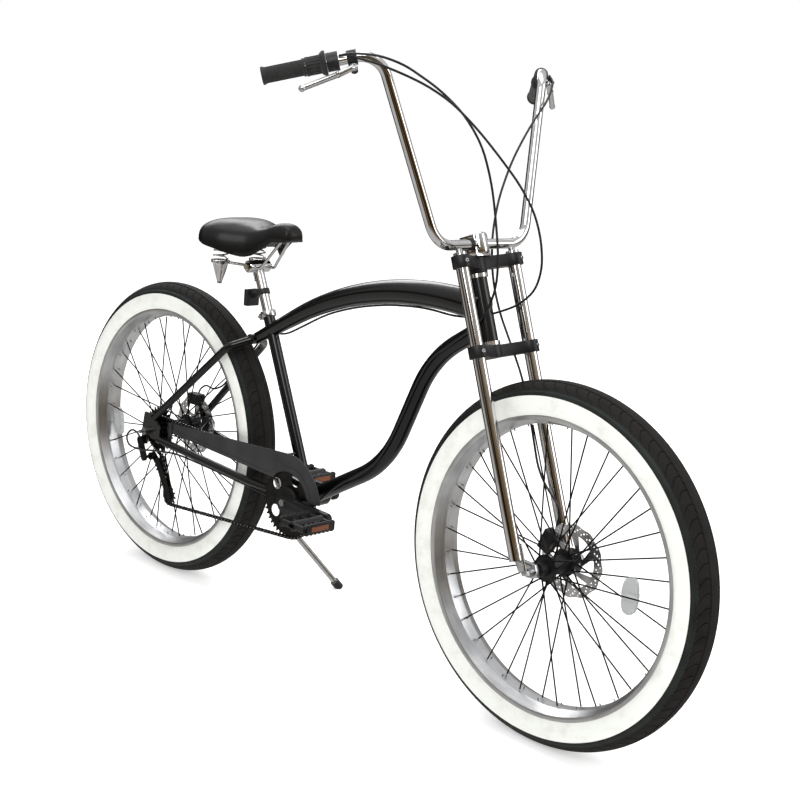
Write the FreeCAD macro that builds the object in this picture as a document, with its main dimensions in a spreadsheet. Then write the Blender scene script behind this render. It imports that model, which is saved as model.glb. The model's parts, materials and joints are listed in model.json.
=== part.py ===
import FreeCAD, Part
import math
import os
import Sketcher
from types import SimpleNamespace
from FreeCAD import Placement, Rotation, Vector

# Beach cruiser bicycle, millimetres and degrees.
# Origin on the ground, midway between the axles. +X forward, +Y to the rider's left, +Z up.
SIZES = {
    # general
    "overrun": 4.0,
    "running_gap": 0.05,
    "clear_gap": 0.4,
    # wheels
    "wheelbase": 1308.0,
    "tyre_radius": 388.0,
    "tyre_width": 92.0,
    "tyre_wall": 4.5,
    "rim_radius": 318.0,
    "rim_width": 76.0,
    "rim_lip": 2.5,
    "rim_step": 10.0,
    "rim_depth": 20.0,
    "rim_wall": 3.0,
    "rim_well_width": 30.0,
    "spoke_radius": 1.0,
    "spoke_rim_offset": 7.0,
    "spoke_end_gap": 0.2,
    "spoke_flange_gap": 0.35,
    "flange_radius": 29.0,
    "flange_width": 3.0,
    "spoke_circle": 26.0,
    "hub_body_radius": 19.0,
    "hub_end_radius": 15.0,
    "rotor_radius": 80.0,
    "rotor_thickness": 2.2,
    "rotor_window_circle": 44.0,
    "rotor_window_radius": 13.0,
    "rotor_hole_circle": 71.0,
    "rotor_hole_radius": 4.2,
    # front hub and axle
    "front_hub_width": 135.0,
    "front_flange_spread": 60.0,
    "front_rotor_offset": 57.0,
    "front_axle_radius": 4.5,
    "axle_nut_radius": 9.0,
    "axle_nut_length": 12.0,
    "cone_radius": 8.5,
    # rear hub and axle
    "rear_hub_width": 170.0,
    "rear_flange_spread": 76.0,
    "rear_rotor_offset": 68.0,
    "rear_axle_radius": 5.0,
    "rear_axle_end": 12.0,
    "rear_axle_end_radius": 4.75,
    "rear_nut_radius": 10.0,
    # fork and steering
    "head_angle": 69.0,
    "fork_rake": 67.0,
    "leg_offset": 38.0,
    "leg_spread": 166.0,
    "leg_radius": 14.0,
    "leg_wall": 2.5,
    "leg_bottom": 27.0,
    "fork_drop_thickness": 9.0,
    "lower_crown_gap": 1.0,
    "crown_thickness": 26.0,
    "upper_crown_gap": 9.0,
    "crown_boss_wall": 6.0,
    "crown_hub_radius": 24.0,
    "crown_web_width": 30.0,
    "steerer_radius": 14.3,
    "steerer_wall": 2.2,
    "steerer_stub": 9.0,
    "head_base": 484.0,
    "head_length": 138.0,
    "head_radius": 20.5,
    "head_bore": 17.0,
    "cup_flange_radius": 23.5,
    "cup_flange_height": 8.0,
    "cup_skirt": 12.0,
    "leg_cap_height": 6.0,
    # stem and handlebar
    "bar_lift": 27.0,
    "bar_forward": 20.0,
    "bar_radius": 11.1,
    "bar_wall": 2.0,
    "bar_bottom_half": 138.0,
    "bar_bottom_forward": 8.0,
    "bar_rise": 375.0,
    "bar_lean_back": 89.0,
    "bar_flare": 116.0,
    "grip_back": 153.0,
    "grip_out": 165.0,
    "grip_drop": 64.0,
    "bar_low_bend": 60.0,
    "bar_high_bend": 52.0,
    "stem_width": 44.0,
    "stem_depth": 40.0,
    "stem_cap_height": 18.0,
    # hand controls, measured along the grip from the upper bend
    "grip_radius": 16.0,
    "grip_end_wall": 4.0,
    "left_grip_length": 130.0,
    "right_grip_length": 88.0,
    "twist_length": 42.0,
    "twist_radius": 18.5,
    "twist_collar_radius": 25.0,
    "twist_collar_width": 8.0,
    "shifter_length": 24.0,
    "shifter_radius": 19.0,
    "control_gap": 0.5,
    "perch_place": 46.0,
    "perch_length": 20.0,
    "perch_radius": 15.5,
    "pivot_offset": 26.0,
    "lever_knee_along": 34.0,
    "lever_knee_offset": 38.0,
    "lever_tip_along": 108.0,
    "lever_tip_offset": 55.0,
    "lever_bend": 60.0,
    "lever_radius": 4.6,
    "lever_ball_radius": 7.0,
    "lever_hub_radius": 7.5,
    "lever_hub_height": 10.0,
    "pivot_pin_radius": 3.0,
    "perch_arm_thickness": 7.0,
    "perch_arm_radius": 7.0,
    "cable_radius": 2.5,
    # front triangle
    "top_tube_up": 74.0,
    "top_tube_front_radius": 31.0,
    "top_tube_rear_radius": 19.5,
    "top_tube_tail_radius": 14.0,
    "top_tube_wall": 2.0,
    "top_tube_seat_forward": 109.6,
    "top_tube_seat_rise": 5.7,
    "top_tube_nose_angle": 6.2,
    "top_tube_tail_length": 168.0,
    "down_tube_up": 34.0,
    "down_tube_radius": 19.5,
    "down_tube_wall": 2.0,
    "down_tube_bend": 270.0,
    "down_tube_high_back": 145.0,
    "down_tube_high_drop": 95.0,
    "down_tube_low_forward": 256.0,
    "down_tube_low_rise": 148.0,
    "bracket_back": 108.0,
    "bracket_height": 334.0,
    "bracket_radius": 24.0,
    "bracket_bore": 18.0,
    "bracket_width": 100.0,
    "bracket_cup_radius": 22.0,
    "bracket_cup_flange": 4.0,
    "bracket_cup_skirt": 14.0,
    "seat_angle": 65.3,
    "seat_tube_length": 470.0,
    "seat_tube_radius": 14.3,
    "seat_post_radius": 12.7,
    "seat_post_wall": 2.2,
    "clamp_radius": 19.0,
    "clamp_height": 15.0,
    "clamp_lug_length": 12.0,
    "clamp_lug_width": 14.0,
    "clamp_bolt_radius": 3.0,
    "clamp_bolt_length": 26.0,
    # rear triangle
    "yoke_radius": 13.0,
    "yoke_width": 40.0,
    "seat_stay_radius": 9.5,
    "stay_wall": 1.6,
    "seat_stay_shoulder_back": 36.0,
    "seat_stay_shoulder_drop": 23.0,
    "seat_stay_shoulder_side": 60.0,
    "seat_stay_bend": 38.0,
    "seat_stay_end_forward": 24.0,
    "seat_stay_end_rise": 40.0,
    "chain_stay_radius": 10.0,
    "chain_stay_start_side": 36.0,
    "chain_stay_knee_back": 156.0,
    "chain_stay_knee_rise": 8.0,
    "chain_stay_knee_side": 57.0,
    "chain_stay_bend": 300.0,
    "chain_stay_end_forward": 46.0,
    "chain_stay_end_drop": 14.0,
    "dropout_thickness": 6.0,
    "dropout_front": 54.0,
    "dropout_rear": 15.0,
    "dropout_top": 48.0,
    "dropout_bottom": 17.0,
    "hanger_back": 13.0,
    "hanger_drop": 27.0,
    "hanger_radius": 10.0,
    "hanger_bolt_radius": 4.0,
    # drive
    "chain_line": 64.0,
    "chain_pitch": 12.7,
    "chain_height": 8.0,
    "chain_plate": 1.5,
    "chain_inner_gap": 3.4,
    "chain_pin_radius": 1.8,
    "tooth_thickness": 2.2,
    "tooth_rise": 3.0,
    "tooth_root": 4.0,
    "ring_window_circle": 58.0,
    "ring_window_radius": 15.0,
    "cog_spacing": 4.6,
    "freewheel_radius": 19.0,
    "spindle_radius": 8.5,
    "crank_length": 152.0,
    "crank_inner": 73.5,
    "crank_thickness": 13.5,
    "crank_boss_radius": 17.0,
    "crank_tip_radius": 12.5,
    "crank_bolt_radius": 8.0,
    "crank_bolt_height": 3.0,
    "spider_radius": 36.0,
    "pedal_axle_radius": 6.0,
    "pedal_width": 92.0,
    "pedal_length": 92.0,
    "pedal_thickness": 26.0,
    "pedal_core_radius": 12.0,
    "pedal_rail": 9.0,
    "pedal_gap": 8.0,
    # chain guard
    "guard_thickness": 2.0,
    "guard_gap": 2.0,
    "guard_outer_radius": 117.0,
    "guard_inner_radius": 74.0,
    "guard_front_angle": 10.0,
    "guard_notch_angle": 140.0,
    "guard_tail_length": 484.0,
    "guard_tail_top": 86.0,
    "guard_tail_bottom": 64.0,
    "guard_post_place": 112.0,
    "guard_post_radius": 3.0,
    "guard_tab_length": 14.0,
    "guard_tab_thickness": 4.0,
    "guard_tab_height": 46.0,
    # rear derailleur
    "cage_pivot_forward": 7.0,
    "cage_pivot_drop": 69.5,
    "upper_jockey_forward": 29.0,
    "upper_jockey_drop": 90.0,
    "lower_jockey_forward": 76.0,
    "lower_jockey_drop": 164.0,
    "cage_gap": 9.4,
    "cage_plate": 2.0,
    "cage_radius": 11.0,
    "jockey_axle_radius": 3.0,
    "jockey_hub_radius": 6.5,
    "knuckle_radius": 10.0,
    "knuckle_length": 12.0,
    "link_inner": 99.0,
    "link_thickness": 7.0,
    "guide_pin_radius": 4.0,
    # brakes
    "caliper_length": 46.0,
    "caliper_height": 30.0,
    "caliper_width": 24.0,
    "caliper_slot": 3.4,
    "caliper_reach": 70.0,
    "rear_caliper_angle": 92.0,
    "front_caliper_angle": 158.0,
    "caliper_mount_length": 24.0,
    "caliper_mount_inset": 1.5,
    "quick_barrel_radius": 5.0,
    "quick_barrel_length": 15.0,
    "quick_blade_length": 62.0,
    "quick_blade_radius": 3.6,
    "cable_gap": 0.5,
    "cable_stay_gap": 3.0,
    # saddle
    "saddle_nose": 146.0,
    "saddle_tail": 128.0,
    "saddle_half_width": 120.0,
    "saddle_height": 58.0,
    "saddle_base": 51.0,
    "saddle_nose_rise": 24.0,
    "post_rise": 115.0,
    "post_depth": 200.0,
    "rail_radius": 3.6,
    "rail_spread": 44.0,
    "rail_clamp_radius": 15.0,
    "rail_clamp_width": 62.0,
    "rail_bend": 12.0,
    "spring_back": 72.0,
    "spring_spread": 120.0,
    "spring_wire": 2.2,
    "spring_radius": 17.0,
    "spring_turns": 3.0,
    "bullet_radius": 24.0,
    "bullet_flange_height": 8.0,
    "bullet_length": 52.0,
    "bullet_tip_radius": 6.0,
    "reflector_width": 40.0,
    "reflector_height": 42.0,
    "reflector_depth": 16.0,
    "reflector_rise": 42.0,
    "strap_width": 14.0,
    "strap_wall": 3.0,
    # kickstand
    "stand_pivot_back": 177.0,
    "stand_pivot_side": 76.0,
    "stand_pivot_drop": 16.0,
    "stand_knee_back": 5.0,
    "stand_knee_side": 6.0,
    "stand_knee_drop": 103.0,
    "stand_foot_forward": 63.0,
    "stand_foot_side": 162.0,
    "stand_foot_height": 20.0,
    "stand_tilt": 20.0,
    "stand_bend": 60.0,
    "stand_rod_radius": 7.5,
    "stand_sleeve_radius": 11.0,
    "stand_sleeve_length": 22.0,
    "stand_pin_radius": 5.0,
    "stand_lug_length": 20.0,
    "stand_lug_thickness": 13.0,
    "stand_lug_up": 24.0,
    "stand_pin_head": 2.6,
    "stand_foot_radius": 11.0,
    "stand_foot_length": 26.0,
}
SPOKES_PER_WHEEL = 36
SPOKE_CROSSES = 3
RING_TEETH = 44
COG_TEETH = (28, 24, 22, 20, 18, 16, 14)
CHAIN_COG = 3
# pins left out at each end of a straight run, where the teeth are
CHAIN_END_PINS = 3
JOCKEY_TEETH = 11
ROTOR_WINDOWS = 6
ROTOR_HOLES = 18
RING_WINDOWS = 5
# points taken on each quarter turn of a spring to measure the gap between its coils
COIL_SAMPLES = 12
# tooth flank positions, as shares of one tooth's angle
TOOTH_FLANK_SHARES = (-0.30, -0.12, 0.12, 0.30)
# saddle stations: share of length from the tail, of half width, of height, of skirt depth and of nose rise
SADDLE_SHARES = (
    (0.00, 0.62, 0.64, 0.00, 0.00),
    (0.08, 0.90, 0.92, 0.00, 0.00),
    (0.25, 1.00, 1.02, 0.00, 0.00),
    (0.45, 0.78, 0.90, 0.28, 0.00),
    (0.60, 0.47, 0.78, 0.34, 0.16),
    (0.80, 0.29, 0.74, 0.06, 0.95),
    (1.00, 0.17, 0.52, 0.00, 1.12),
)


class Size:
    """A length that keeps its number and the sheet formula that gives it."""

    def __init__(self, number, formula):
        self.number = float(number)
        self.formula = formula

    def join(self, other, sign, number):
        text = other.formula if isinstance(other, Size) else repr(other)
        return Size(number, f"({self.formula} {sign} {text})")

    def __float__(self):
        return self.number

    def __add__(self, other):
        return self.join(other, "+", self.number + float(other))

    def __sub__(self, other):
        return self.join(other, "-", self.number - float(other))

    def __mul__(self, other):
        return self.join(other, "*", self.number * float(other))

    def __truediv__(self, other):
        return self.join(other, "/", self.number / float(other))

    def __neg__(self):
        return Size(-self.number, f"(0 - {self.formula})")


doc = FreeCAD.newDocument("beach_cruiser")
sheet = doc.addObject("Spreadsheet::Sheet", "Sizes")
for row, (alias, number) in enumerate(SIZES.items(), 1):
    sheet.set(f"A{row}", alias)
    sheet.set(f"B{row}", str(number))
    sheet.setAlias(f"B{row}", alias)
doc.recompute()
s = SimpleNamespace(**{alias: Size(sheet.get(alias), f"Sizes.{alias}") for alias in SIZES})
ZERO = Size(0, "0")
X_AXIS = Vector(1, 0, 0)
Y_AXIS = Vector(0, 1, 0)
Z_AXIS = Vector(0, 0, 1)
pieces = {}


def vec(x, y, z):
    return Vector(float(x), float(y), float(z))


def bind(item, prop, size):
    setattr(item, prop, float(size))
    item.setExpression(prop, size.formula)


def keep(label, item):
    item.Label = label
    pieces[label] = item
    return item


def turned(base, axis):
    return Placement(base, Rotation(Z_AXIS, axis))


def cylinder(name, radius, length, base, axis):
    item = doc.addObject("Part::Cylinder", name)
    bind(item, "Radius", radius)
    bind(item, "Height", length)
    item.Placement = turned(base, axis)
    return item


def rod(name, radius, start, end):
    """A cylinder between two points, for pins, posts and bores."""
    item = doc.addObject("Part::Cylinder", name)
    bind(item, "Radius", radius)
    item.Height = (end - start).Length
    item.Placement = turned(start, end - start)
    return item


def box(name, lengths, centre, rotation):
    item = doc.addObject("Part::Box", name)
    for prop, size in zip(("Length", "Width", "Height"), lengths):
        bind(item, prop, size)
    corner = vec(*(-float(size) / 2 for size in lengths))
    item.Placement = Placement(centre, rotation) * Placement(corner, Rotation())
    return item


def cut(name, base, *tools):
    for tool in tools:
        item = doc.addObject("Part::Cut", name)
        item.Base = base
        item.Tool = tool
        base = item
    return base


def fuse(name, *items):
    item = doc.addObject("Part::MultiFuse", name)
    item.Shapes = list(items)
    return item


def group(name, *items):
    item = doc.addObject("Part::Compound", name)
    item.Links = list(items)
    return item


def feature(name, shape):
    item = doc.addObject("Part::Feature", name)
    item.Shape = shape
    return item


def sketch(body, name, role, points, circles=()):
    """A closed outline of straight edges, each corner held at its own sizes."""
    item = body.newObject("Sketcher::SketchObject", name)
    plane = next(face for face in body.Origin.OriginFeatures if face.Role == role)
    item.AttachmentSupport = [(plane, "")]
    item.MapMode = "FlatFace"

    def hold(kind, geometry, point, size):
        index = item.addConstraint(Sketcher.Constraint(kind, -1, 1, geometry, point, float(size)))
        item.setExpression(f"Constraints[{index}]", size.formula)

    for start, end in zip(points, points[1:] + points[:1]):
        item.addGeometry(Part.LineSegment(vec(*start, 0), vec(*end, 0)))
    for index, (across, along) in enumerate(points):
        item.addConstraint(Sketcher.Constraint("Coincident", index - 1 if index else len(points) - 1, 2,
            index, 1))
        hold("DistanceX", index, 1, across)
        hold("DistanceY", index, 1, along)
    for across, along, radius in circles:
        ring = item.addGeometry(Part.Circle(vec(across, along, 0), Z_AXIS, float(radius)))
        hold("DistanceX", ring, 3, across)
        hold("DistanceY", ring, 3, along)
        index = item.addConstraint(Sketcher.Constraint("Radius", ring, float(radius)))
        item.setExpression(f"Constraints[{index}]", radius.formula)
    return item


def lathe(name, points, base, axis):
    """A turned piece: points are (radius, place along the axis)."""
    body = doc.addObject("PartDesign::Body", name)
    profile = sketch(body, name + "_profile", "XZ_Plane", points)
    turn = body.newObject("PartDesign::Revolution", name + "_turn")
    turn.Profile = profile
    turn.ReferenceAxis = (profile, ["V_Axis"])
    turn.Angle = 360
    body.Placement = turned(base, axis)
    return body


def plate(name, points, thickness, placement, circles=()):
    """A flat piece: points are (x, z) of its own frame, its thickness is centred on y."""
    body = doc.addObject("PartDesign::Body", name)
    outline = sketch(body, name + "_outline", "XZ_Plane", points, circles)
    pad = body.newObject("PartDesign::Pad", name + "_pad")
    pad.Profile = outline
    pad.Midplane = True
    bind(pad, "Length", thickness)
    body.Placement = placement
    return body


def route(points, bend):
    """Straight runs through the points, joined by tangent arcs of one radius."""
    edges = []
    last = points[0]
    for before, corner, after in zip(points, points[1:], points[2:]):
        inward = (before - corner).normalize()
        outward = (after - corner).normalize()
        half = inward.getAngle(outward) / 2
        reach = bend / math.tan(half)
        start = corner + inward * reach
        end = corner + outward * reach
        middle = (inward + outward).normalize()
        crown = corner + middle * (bend / math.sin(half) - bend)
        edges.append(Part.LineSegment(last, start).toShape())
        edges.append(Part.Arc(start, crown, end).toShape())
        last = end
    edges.append(Part.LineSegment(last, points[-1]).toShape())
    return Part.Wire(edges)


def pipe(path, radius):
    start = path.OrderedEdges[0]
    section = Part.Wire(Part.Circle(start.valueAt(start.FirstParameter),
                                    start.tangentAt(start.FirstParameter), radius).toShape())
    return path.makePipeShell([section], True, True)


def hollow_pipe(name, points, bend, radius, wall):
    path = route(points, float(bend))
    outer = pipe(path, float(radius))
    return feature(name, outer.cut(pipe(path, float(radius - wall)))), feature(name + "_outer", outer)


# steering axis and main points
u = math.radians(float(s.head_angle))
STEER_UP = Vector(-math.cos(u), 0, math.sin(u))
STEER_FORWARD = Vector(math.sin(u), 0, math.cos(u))
front_axle = vec(s.wheelbase / 2, 0, s.tyre_radius)
rear_axle = vec(-s.wheelbase / 2, 0, s.tyre_radius)
steer_foot = front_axle - STEER_FORWARD * float(s.fork_rake)
bracket = vec(-s.bracket_back, 0, s.bracket_height)
seat_lean = math.radians(float(s.seat_angle))
SEAT_UP = Vector(-math.cos(seat_lean), 0, math.sin(seat_lean))


def steer(along, forward, side):
    return steer_foot + STEER_UP * float(along) + STEER_FORWARD * float(forward) + Y_AXIS * float(side)


def out(side, size):
    """An offset to one side of the bicycle: +1 is the rider's left."""
    return Y_AXIS * (side * float(size))


def pitch_radius(teeth):
    return float(s.chain_pitch) / (2 * math.sin(math.pi / teeth))


def toothed_disc(teeth, thickness):
    tip = pitch_radius(teeth) + float(s.tooth_rise)
    root = pitch_radius(teeth) - float(s.tooth_root)
    corners = []
    for tooth in range(teeth):
        for share, radius in zip(TOOTH_FLANK_SHARES, (root, tip, tip, root)):
            angle = (tooth + share) * 2 * math.pi / teeth
            corners.append(Vector(radius * math.cos(angle), -thickness / 2, radius * math.sin(angle)))
    face = Part.Face(Part.makePolygon(corners + corners[:1]))
    return face.extrude(Y_AXIS * thickness)


# wheels
def tyre(name, centre):
    place = turned(centre, Y_AXIS)
    rings = []
    for part_name, section in (("_carcass", s.tyre_width / 2), ("_cavity", s.tyre_width / 2 - s.tyre_wall)):
        ring = doc.addObject("Part::Torus", name + part_name)
        bind(ring, "Radius1", s.tyre_radius - s.tyre_width / 2)
        bind(ring, "Radius2", section)
        ring.Placement = place
        rings.append(ring)
    seat = cylinder(name + "_seat", s.rim_radius, s.tyre_width + s.overrun,
                    centre - out(1, (s.tyre_width + s.overrun) / 2), Y_AXIS)
    return keep(name, cut(name, *rings, seat))


def rim(name, centre):
    half = s.rim_width / 2
    shoulder = half - s.rim_lip * 2
    well = s.rim_well_width / 2
    step = s.rim_radius - s.rim_step
    floor = s.rim_radius - s.rim_depth + s.rim_wall
    side = [(s.rim_radius, half), (step, half), (floor - s.rim_wall, well)]
    inner = [(floor, well), (step + s.rim_wall, shoulder), (s.rim_radius, half - s.rim_lip)]
    upper = side[::-1]
    points = [(r, -z) for r, z in side] + upper + inner[::-1] + [(r, -z) for r, z in inner]
    return keep(name, lathe(name, points, centre, Y_AXIS))


def spokes(name, centre, flange_spread):
    wires = []
    step = 4 * math.pi / SPOKES_PER_WHEEL
    rim_reach = float(s.rim_radius - s.rim_depth - s.spoke_end_gap)
    for index in range(SPOKES_PER_WHEEL):
        side = 1 if index % 2 else -1
        pair = index // 2
        lead = 1 if pair % 2 else -1
        rim_angle = index * 2 * math.pi / SPOKES_PER_WHEEL
        hub_angle = rim_angle + lead * SPOKE_CROSSES * step / 2
        lift = (s.flange_width / 2 + s.spoke_radius + s.spoke_flange_gap) * lead
        start = centre + Vector(math.cos(hub_angle), 0, math.sin(hub_angle)) * float(s.spoke_circle)
        start += out(side, flange_spread / 2 + lift)
        end = centre + Vector(math.cos(rim_angle), 0, math.sin(rim_angle)) * rim_reach
        end += out(side, s.spoke_rim_offset)
        wires.append(rod(f"{name}_{index}", s.spoke_radius, start, end))
    return keep(name, group(name, *wires))


def hub(name, centre, spread, axle_radius, left_end, right_end):
    bore = axle_radius + s.running_gap
    near = spread / 2 - s.flange_width / 2
    far = spread / 2 + s.flange_width / 2
    points = [(bore, -right_end), (s.hub_end_radius, -right_end), (s.hub_end_radius, -far),
              (s.flange_radius, -far), (s.flange_radius, -near), (s.hub_body_radius, -near),
              (s.hub_body_radius, near), (s.flange_radius, near), (s.flange_radius, far),
              (s.hub_end_radius, far), (s.hub_end_radius, left_end), (bore, left_end)]
    return keep(name, lathe(name, points, centre, Y_AXIS))


def rotor(name, centre, offset, axle_radius):
    base = centre + out(1, offset - s.rotor_thickness / 2)
    disc = cylinder(name + "_disc", s.rotor_radius, s.rotor_thickness, base, Y_AXIS)
    holes = [cylinder(name + "_bore", axle_radius + s.overrun, s.rotor_thickness + s.overrun * 2,
                      base - out(1, s.overrun), Y_AXIS)]
    for count, circle, radius in ((ROTOR_WINDOWS, s.rotor_window_circle, s.rotor_window_radius),
                                  (ROTOR_HOLES, s.rotor_hole_circle, s.rotor_hole_radius)):
        for index in range(count):
            angle = 2 * math.pi * index / count
            place = base + Vector(math.cos(angle), 0, math.sin(angle)) * float(circle) - out(1, s.overrun)
            holes.append(cylinder(name + "_hole", radius, s.rotor_thickness + s.overrun * 2, place, Y_AXIS))
    return keep(name, cut(name, disc, group(name + "_holes", *holes)))


def wheel(prefix, centre, spread, rotor_offset, axle_radius, right_end):
    tyre(prefix + "_tyre", centre)
    rim(prefix + "_rim", centre)
    spokes(prefix + "_spokes", centre, spread)
    hub(prefix + "_hub", centre, spread, axle_radius, rotor_offset - s.rotor_thickness / 2, right_end)
    rotor(prefix + "_rotor", centre, rotor_offset, axle_radius)


freewheel_inner = s.chain_line - s.cog_spacing * CHAIN_COG - s.tooth_thickness
wheel("front", front_axle, s.front_flange_spread, s.front_rotor_offset, s.front_axle_radius,
      s.front_rotor_offset)
wheel("rear", rear_axle, s.rear_flange_spread, s.rear_rotor_offset, s.rear_axle_radius,
      freewheel_inner - s.clear_gap)


def front_axle_set():
    half = s.front_hub_width / 2
    cone = s.front_rotor_offset + s.rotor_thickness / 2 + s.clear_gap
    outer = half + s.fork_drop_thickness
    shaft = s.front_axle_radius
    points = [(ZERO, -outer - s.axle_nut_length), (s.axle_nut_radius, -outer - s.axle_nut_length),
              (s.axle_nut_radius, -outer), (shaft, -outer), (shaft, -half), (s.cone_radius, -half),
              (s.cone_radius, -cone), (shaft, -cone), (shaft, cone), (s.cone_radius, cone),
              (s.cone_radius, half), (shaft, half), (shaft, outer), (s.axle_nut_radius, outer),
              (s.axle_nut_radius, outer + s.axle_nut_length), (ZERO, outer + s.axle_nut_length)]
    return keep("front_axle", lathe("front_axle", points, front_axle, Y_AXIS))


front_axle_set()


def rear_axle_set():
    half = s.rear_hub_width / 2
    outer = half + s.dropout_thickness
    nut_end = outer + s.axle_nut_length
    end = nut_end + s.rear_axle_end
    cone_left = s.rear_rotor_offset + s.rotor_thickness / 2 + s.clear_gap
    cone_right = s.chain_line + s.cog_spacing * (len(COG_TEETH) - 1
        - CHAIN_COG) + s.tooth_thickness + s.clear_gap
    shaft = s.rear_axle_radius
    tip = s.rear_axle_end_radius
    points = [(ZERO, -end), (tip, -end), (tip, -nut_end), (shaft, -nut_end), (shaft, -half),
              (s.cone_radius, -half),
              (s.cone_radius, -cone_right), (shaft, -cone_right), (shaft, cone_left), (s.cone_radius,
                  cone_left),
              (s.cone_radius, half), (shaft, half), (shaft, nut_end), (tip, nut_end), (tip, end), (ZERO, end)]
    axle = lathe("rear_axle_shaft", points, rear_axle, Y_AXIS)
    nuts = []
    for side in (1, -1):
        base = rear_axle + out(side, outer)
        body = cylinder("rear_nut", s.rear_nut_radius, s.axle_nut_length, base, Y_AXIS * side)
        bore = cylinder("rear_nut_bore", shaft, s.axle_nut_length + s.overrun, base, Y_AXIS * side)
        nuts.append(cut("rear_nut_cut", body, bore))
    return keep("rear_axle", group("rear_axle", axle, *nuts))


rear_axle_set()


# frame tubes
head_bottom = steer(s.head_base, 0, 0)
head_outer = cylinder("head_outer", s.head_radius, s.head_length, head_bottom, STEER_UP)
head_bore = cylinder("head_bore", s.head_bore, s.head_length + s.overrun * 2,
                     head_bottom - STEER_UP * float(s.overrun), STEER_UP)
keep("head_tube", cut("head_tube", head_outer, head_bore))
shell_outer = cylinder("shell_outer", s.bracket_radius, s.bracket_width,
                       bracket - out(1, s.bracket_width / 2), Y_AXIS)
shell_bore = cylinder("shell_bore", s.bracket_bore, s.bracket_width + s.overrun * 2,
                      bracket - out(1, s.bracket_width / 2 + s.overrun), Y_AXIS)
keep("bottom_bracket_shell", cut("bottom_bracket_shell", shell_outer, shell_bore))
seat_outer = cylinder("seat_outer", s.seat_tube_radius, s.seat_tube_length, bracket, SEAT_UP)
seat_bore = cylinder("seat_bore", s.seat_post_radius + s.running_gap, s.seat_tube_length + s.overrun,
                     bracket, SEAT_UP)
keep("seat_tube", cut("seat_tube", seat_outer, seat_bore, shell_outer))


def cup(name, flange_radius, flange, bore, skirt_radius, skirt, base, axis):
    """A bearing cup whose flange stands outside its tube and whose skirt fills the tube's bore."""
    points = [(bore, ZERO), (flange_radius, ZERO), (flange_radius, flange), (skirt_radius, flange),
              (skirt_radius, flange + skirt), (bore, flange + skirt)]
    return lathe(name, points, base, axis)


cups = []
for side, end in ((1, s.head_base + s.head_length), (-1, s.head_base)):
    base = steer(end + s.cup_flange_height * side, 0, 0)
    cups.append(cup("head_cup", s.cup_flange_radius, s.cup_flange_height, s.steerer_radius + s.running_gap,
                    s.head_bore, s.cup_skirt, base, STEER_UP * -side))
    base = bracket + out(side, s.bracket_width / 2 + s.bracket_cup_flange)
    cups.append(cup("bracket_cup", s.bracket_cup_radius, s.bracket_cup_flange,
                    s.spindle_radius + s.running_gap,
                    s.bracket_bore, s.bracket_cup_skirt, base, Y_AXIS * -side))
keep("bearing_cups", group("bearing_cups", *cups))

# top tube: an arch that falls to the yoke behind the seat tube
top_start = steer(s.head_base + s.top_tube_up, 0, 0)
seat_top = bracket + SEAT_UP * float(s.seat_tube_length)
arch_end = seat_top + vec(s.top_tube_seat_forward, 0, s.top_tube_seat_rise)
nose = math.radians(float(s.top_tube_nose_angle))
chord = top_start - arch_end
lean = math.atan2(chord.z, chord.x)
tail = nose + lean * 2
arch = chord.Length / (math.sin(nose + lean) * 2)
arch_centre = top_start - Vector(math.sin(nose), 0, math.cos(nose)) * arch


def on_arch(angle):
    return arch_centre + Vector(math.sin(angle), 0, math.cos(angle)) * arch


top_end = arch_end - Vector(math.cos(tail), 0, math.sin(tail)) * float(s.top_tube_tail_length)
arch_edge = Part.Arc(top_start, on_arch((nose - tail) / 2), arch_end).toShape()
tail_edge = Part.LineSegment(arch_end, top_end).toShape()
top_path = Part.Wire([arch_edge, tail_edge])


def ring_at(place, along, radius):
    return Part.Wire(Part.Circle(place, along, radius).toShape())


def top_loft(inset):
    front = Vector(-math.cos(nose), 0, math.sin(nose))
    back = Vector(-math.cos(tail), 0, -math.sin(tail))
    radii = [float(size) - inset for size in (s.top_tube_front_radius, s.top_tube_rear_radius,
                                              s.top_tube_tail_radius)]
    rings = [ring_at(top_start, front, radii[0]), ring_at(arch_end, back, radii[1]),
             ring_at(top_end, back, radii[2])]
    return top_path.makePipeShell(rings, True, True)


top_outer = feature("top_outer", top_loft(0))
top_shell = feature("top_shell", top_outer.Shape.cut(top_loft(float(s.top_tube_wall))))
yoke = cylinder("yoke", s.yoke_radius, s.yoke_width, top_end - out(1, s.yoke_width / 2), Y_AXIS)
keep("top_tube", cut("top_tube", top_shell, head_outer, seat_outer, yoke))

down_start = steer(s.head_base + s.down_tube_up, 0, 0)
down_high = down_start + vec(-s.down_tube_high_back, 0, -s.down_tube_high_drop)
down_low = bracket + vec(s.down_tube_low_forward, 0, s.down_tube_low_rise)
down_shell, down_outer = hollow_pipe("down_shell", [down_start, down_high, down_low, bracket],
                                     s.down_tube_bend, s.down_tube_radius, s.down_tube_wall)
keep("down_tube", cut("down_tube", down_shell, head_outer, top_outer, shell_outer, seat_outer))

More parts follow.
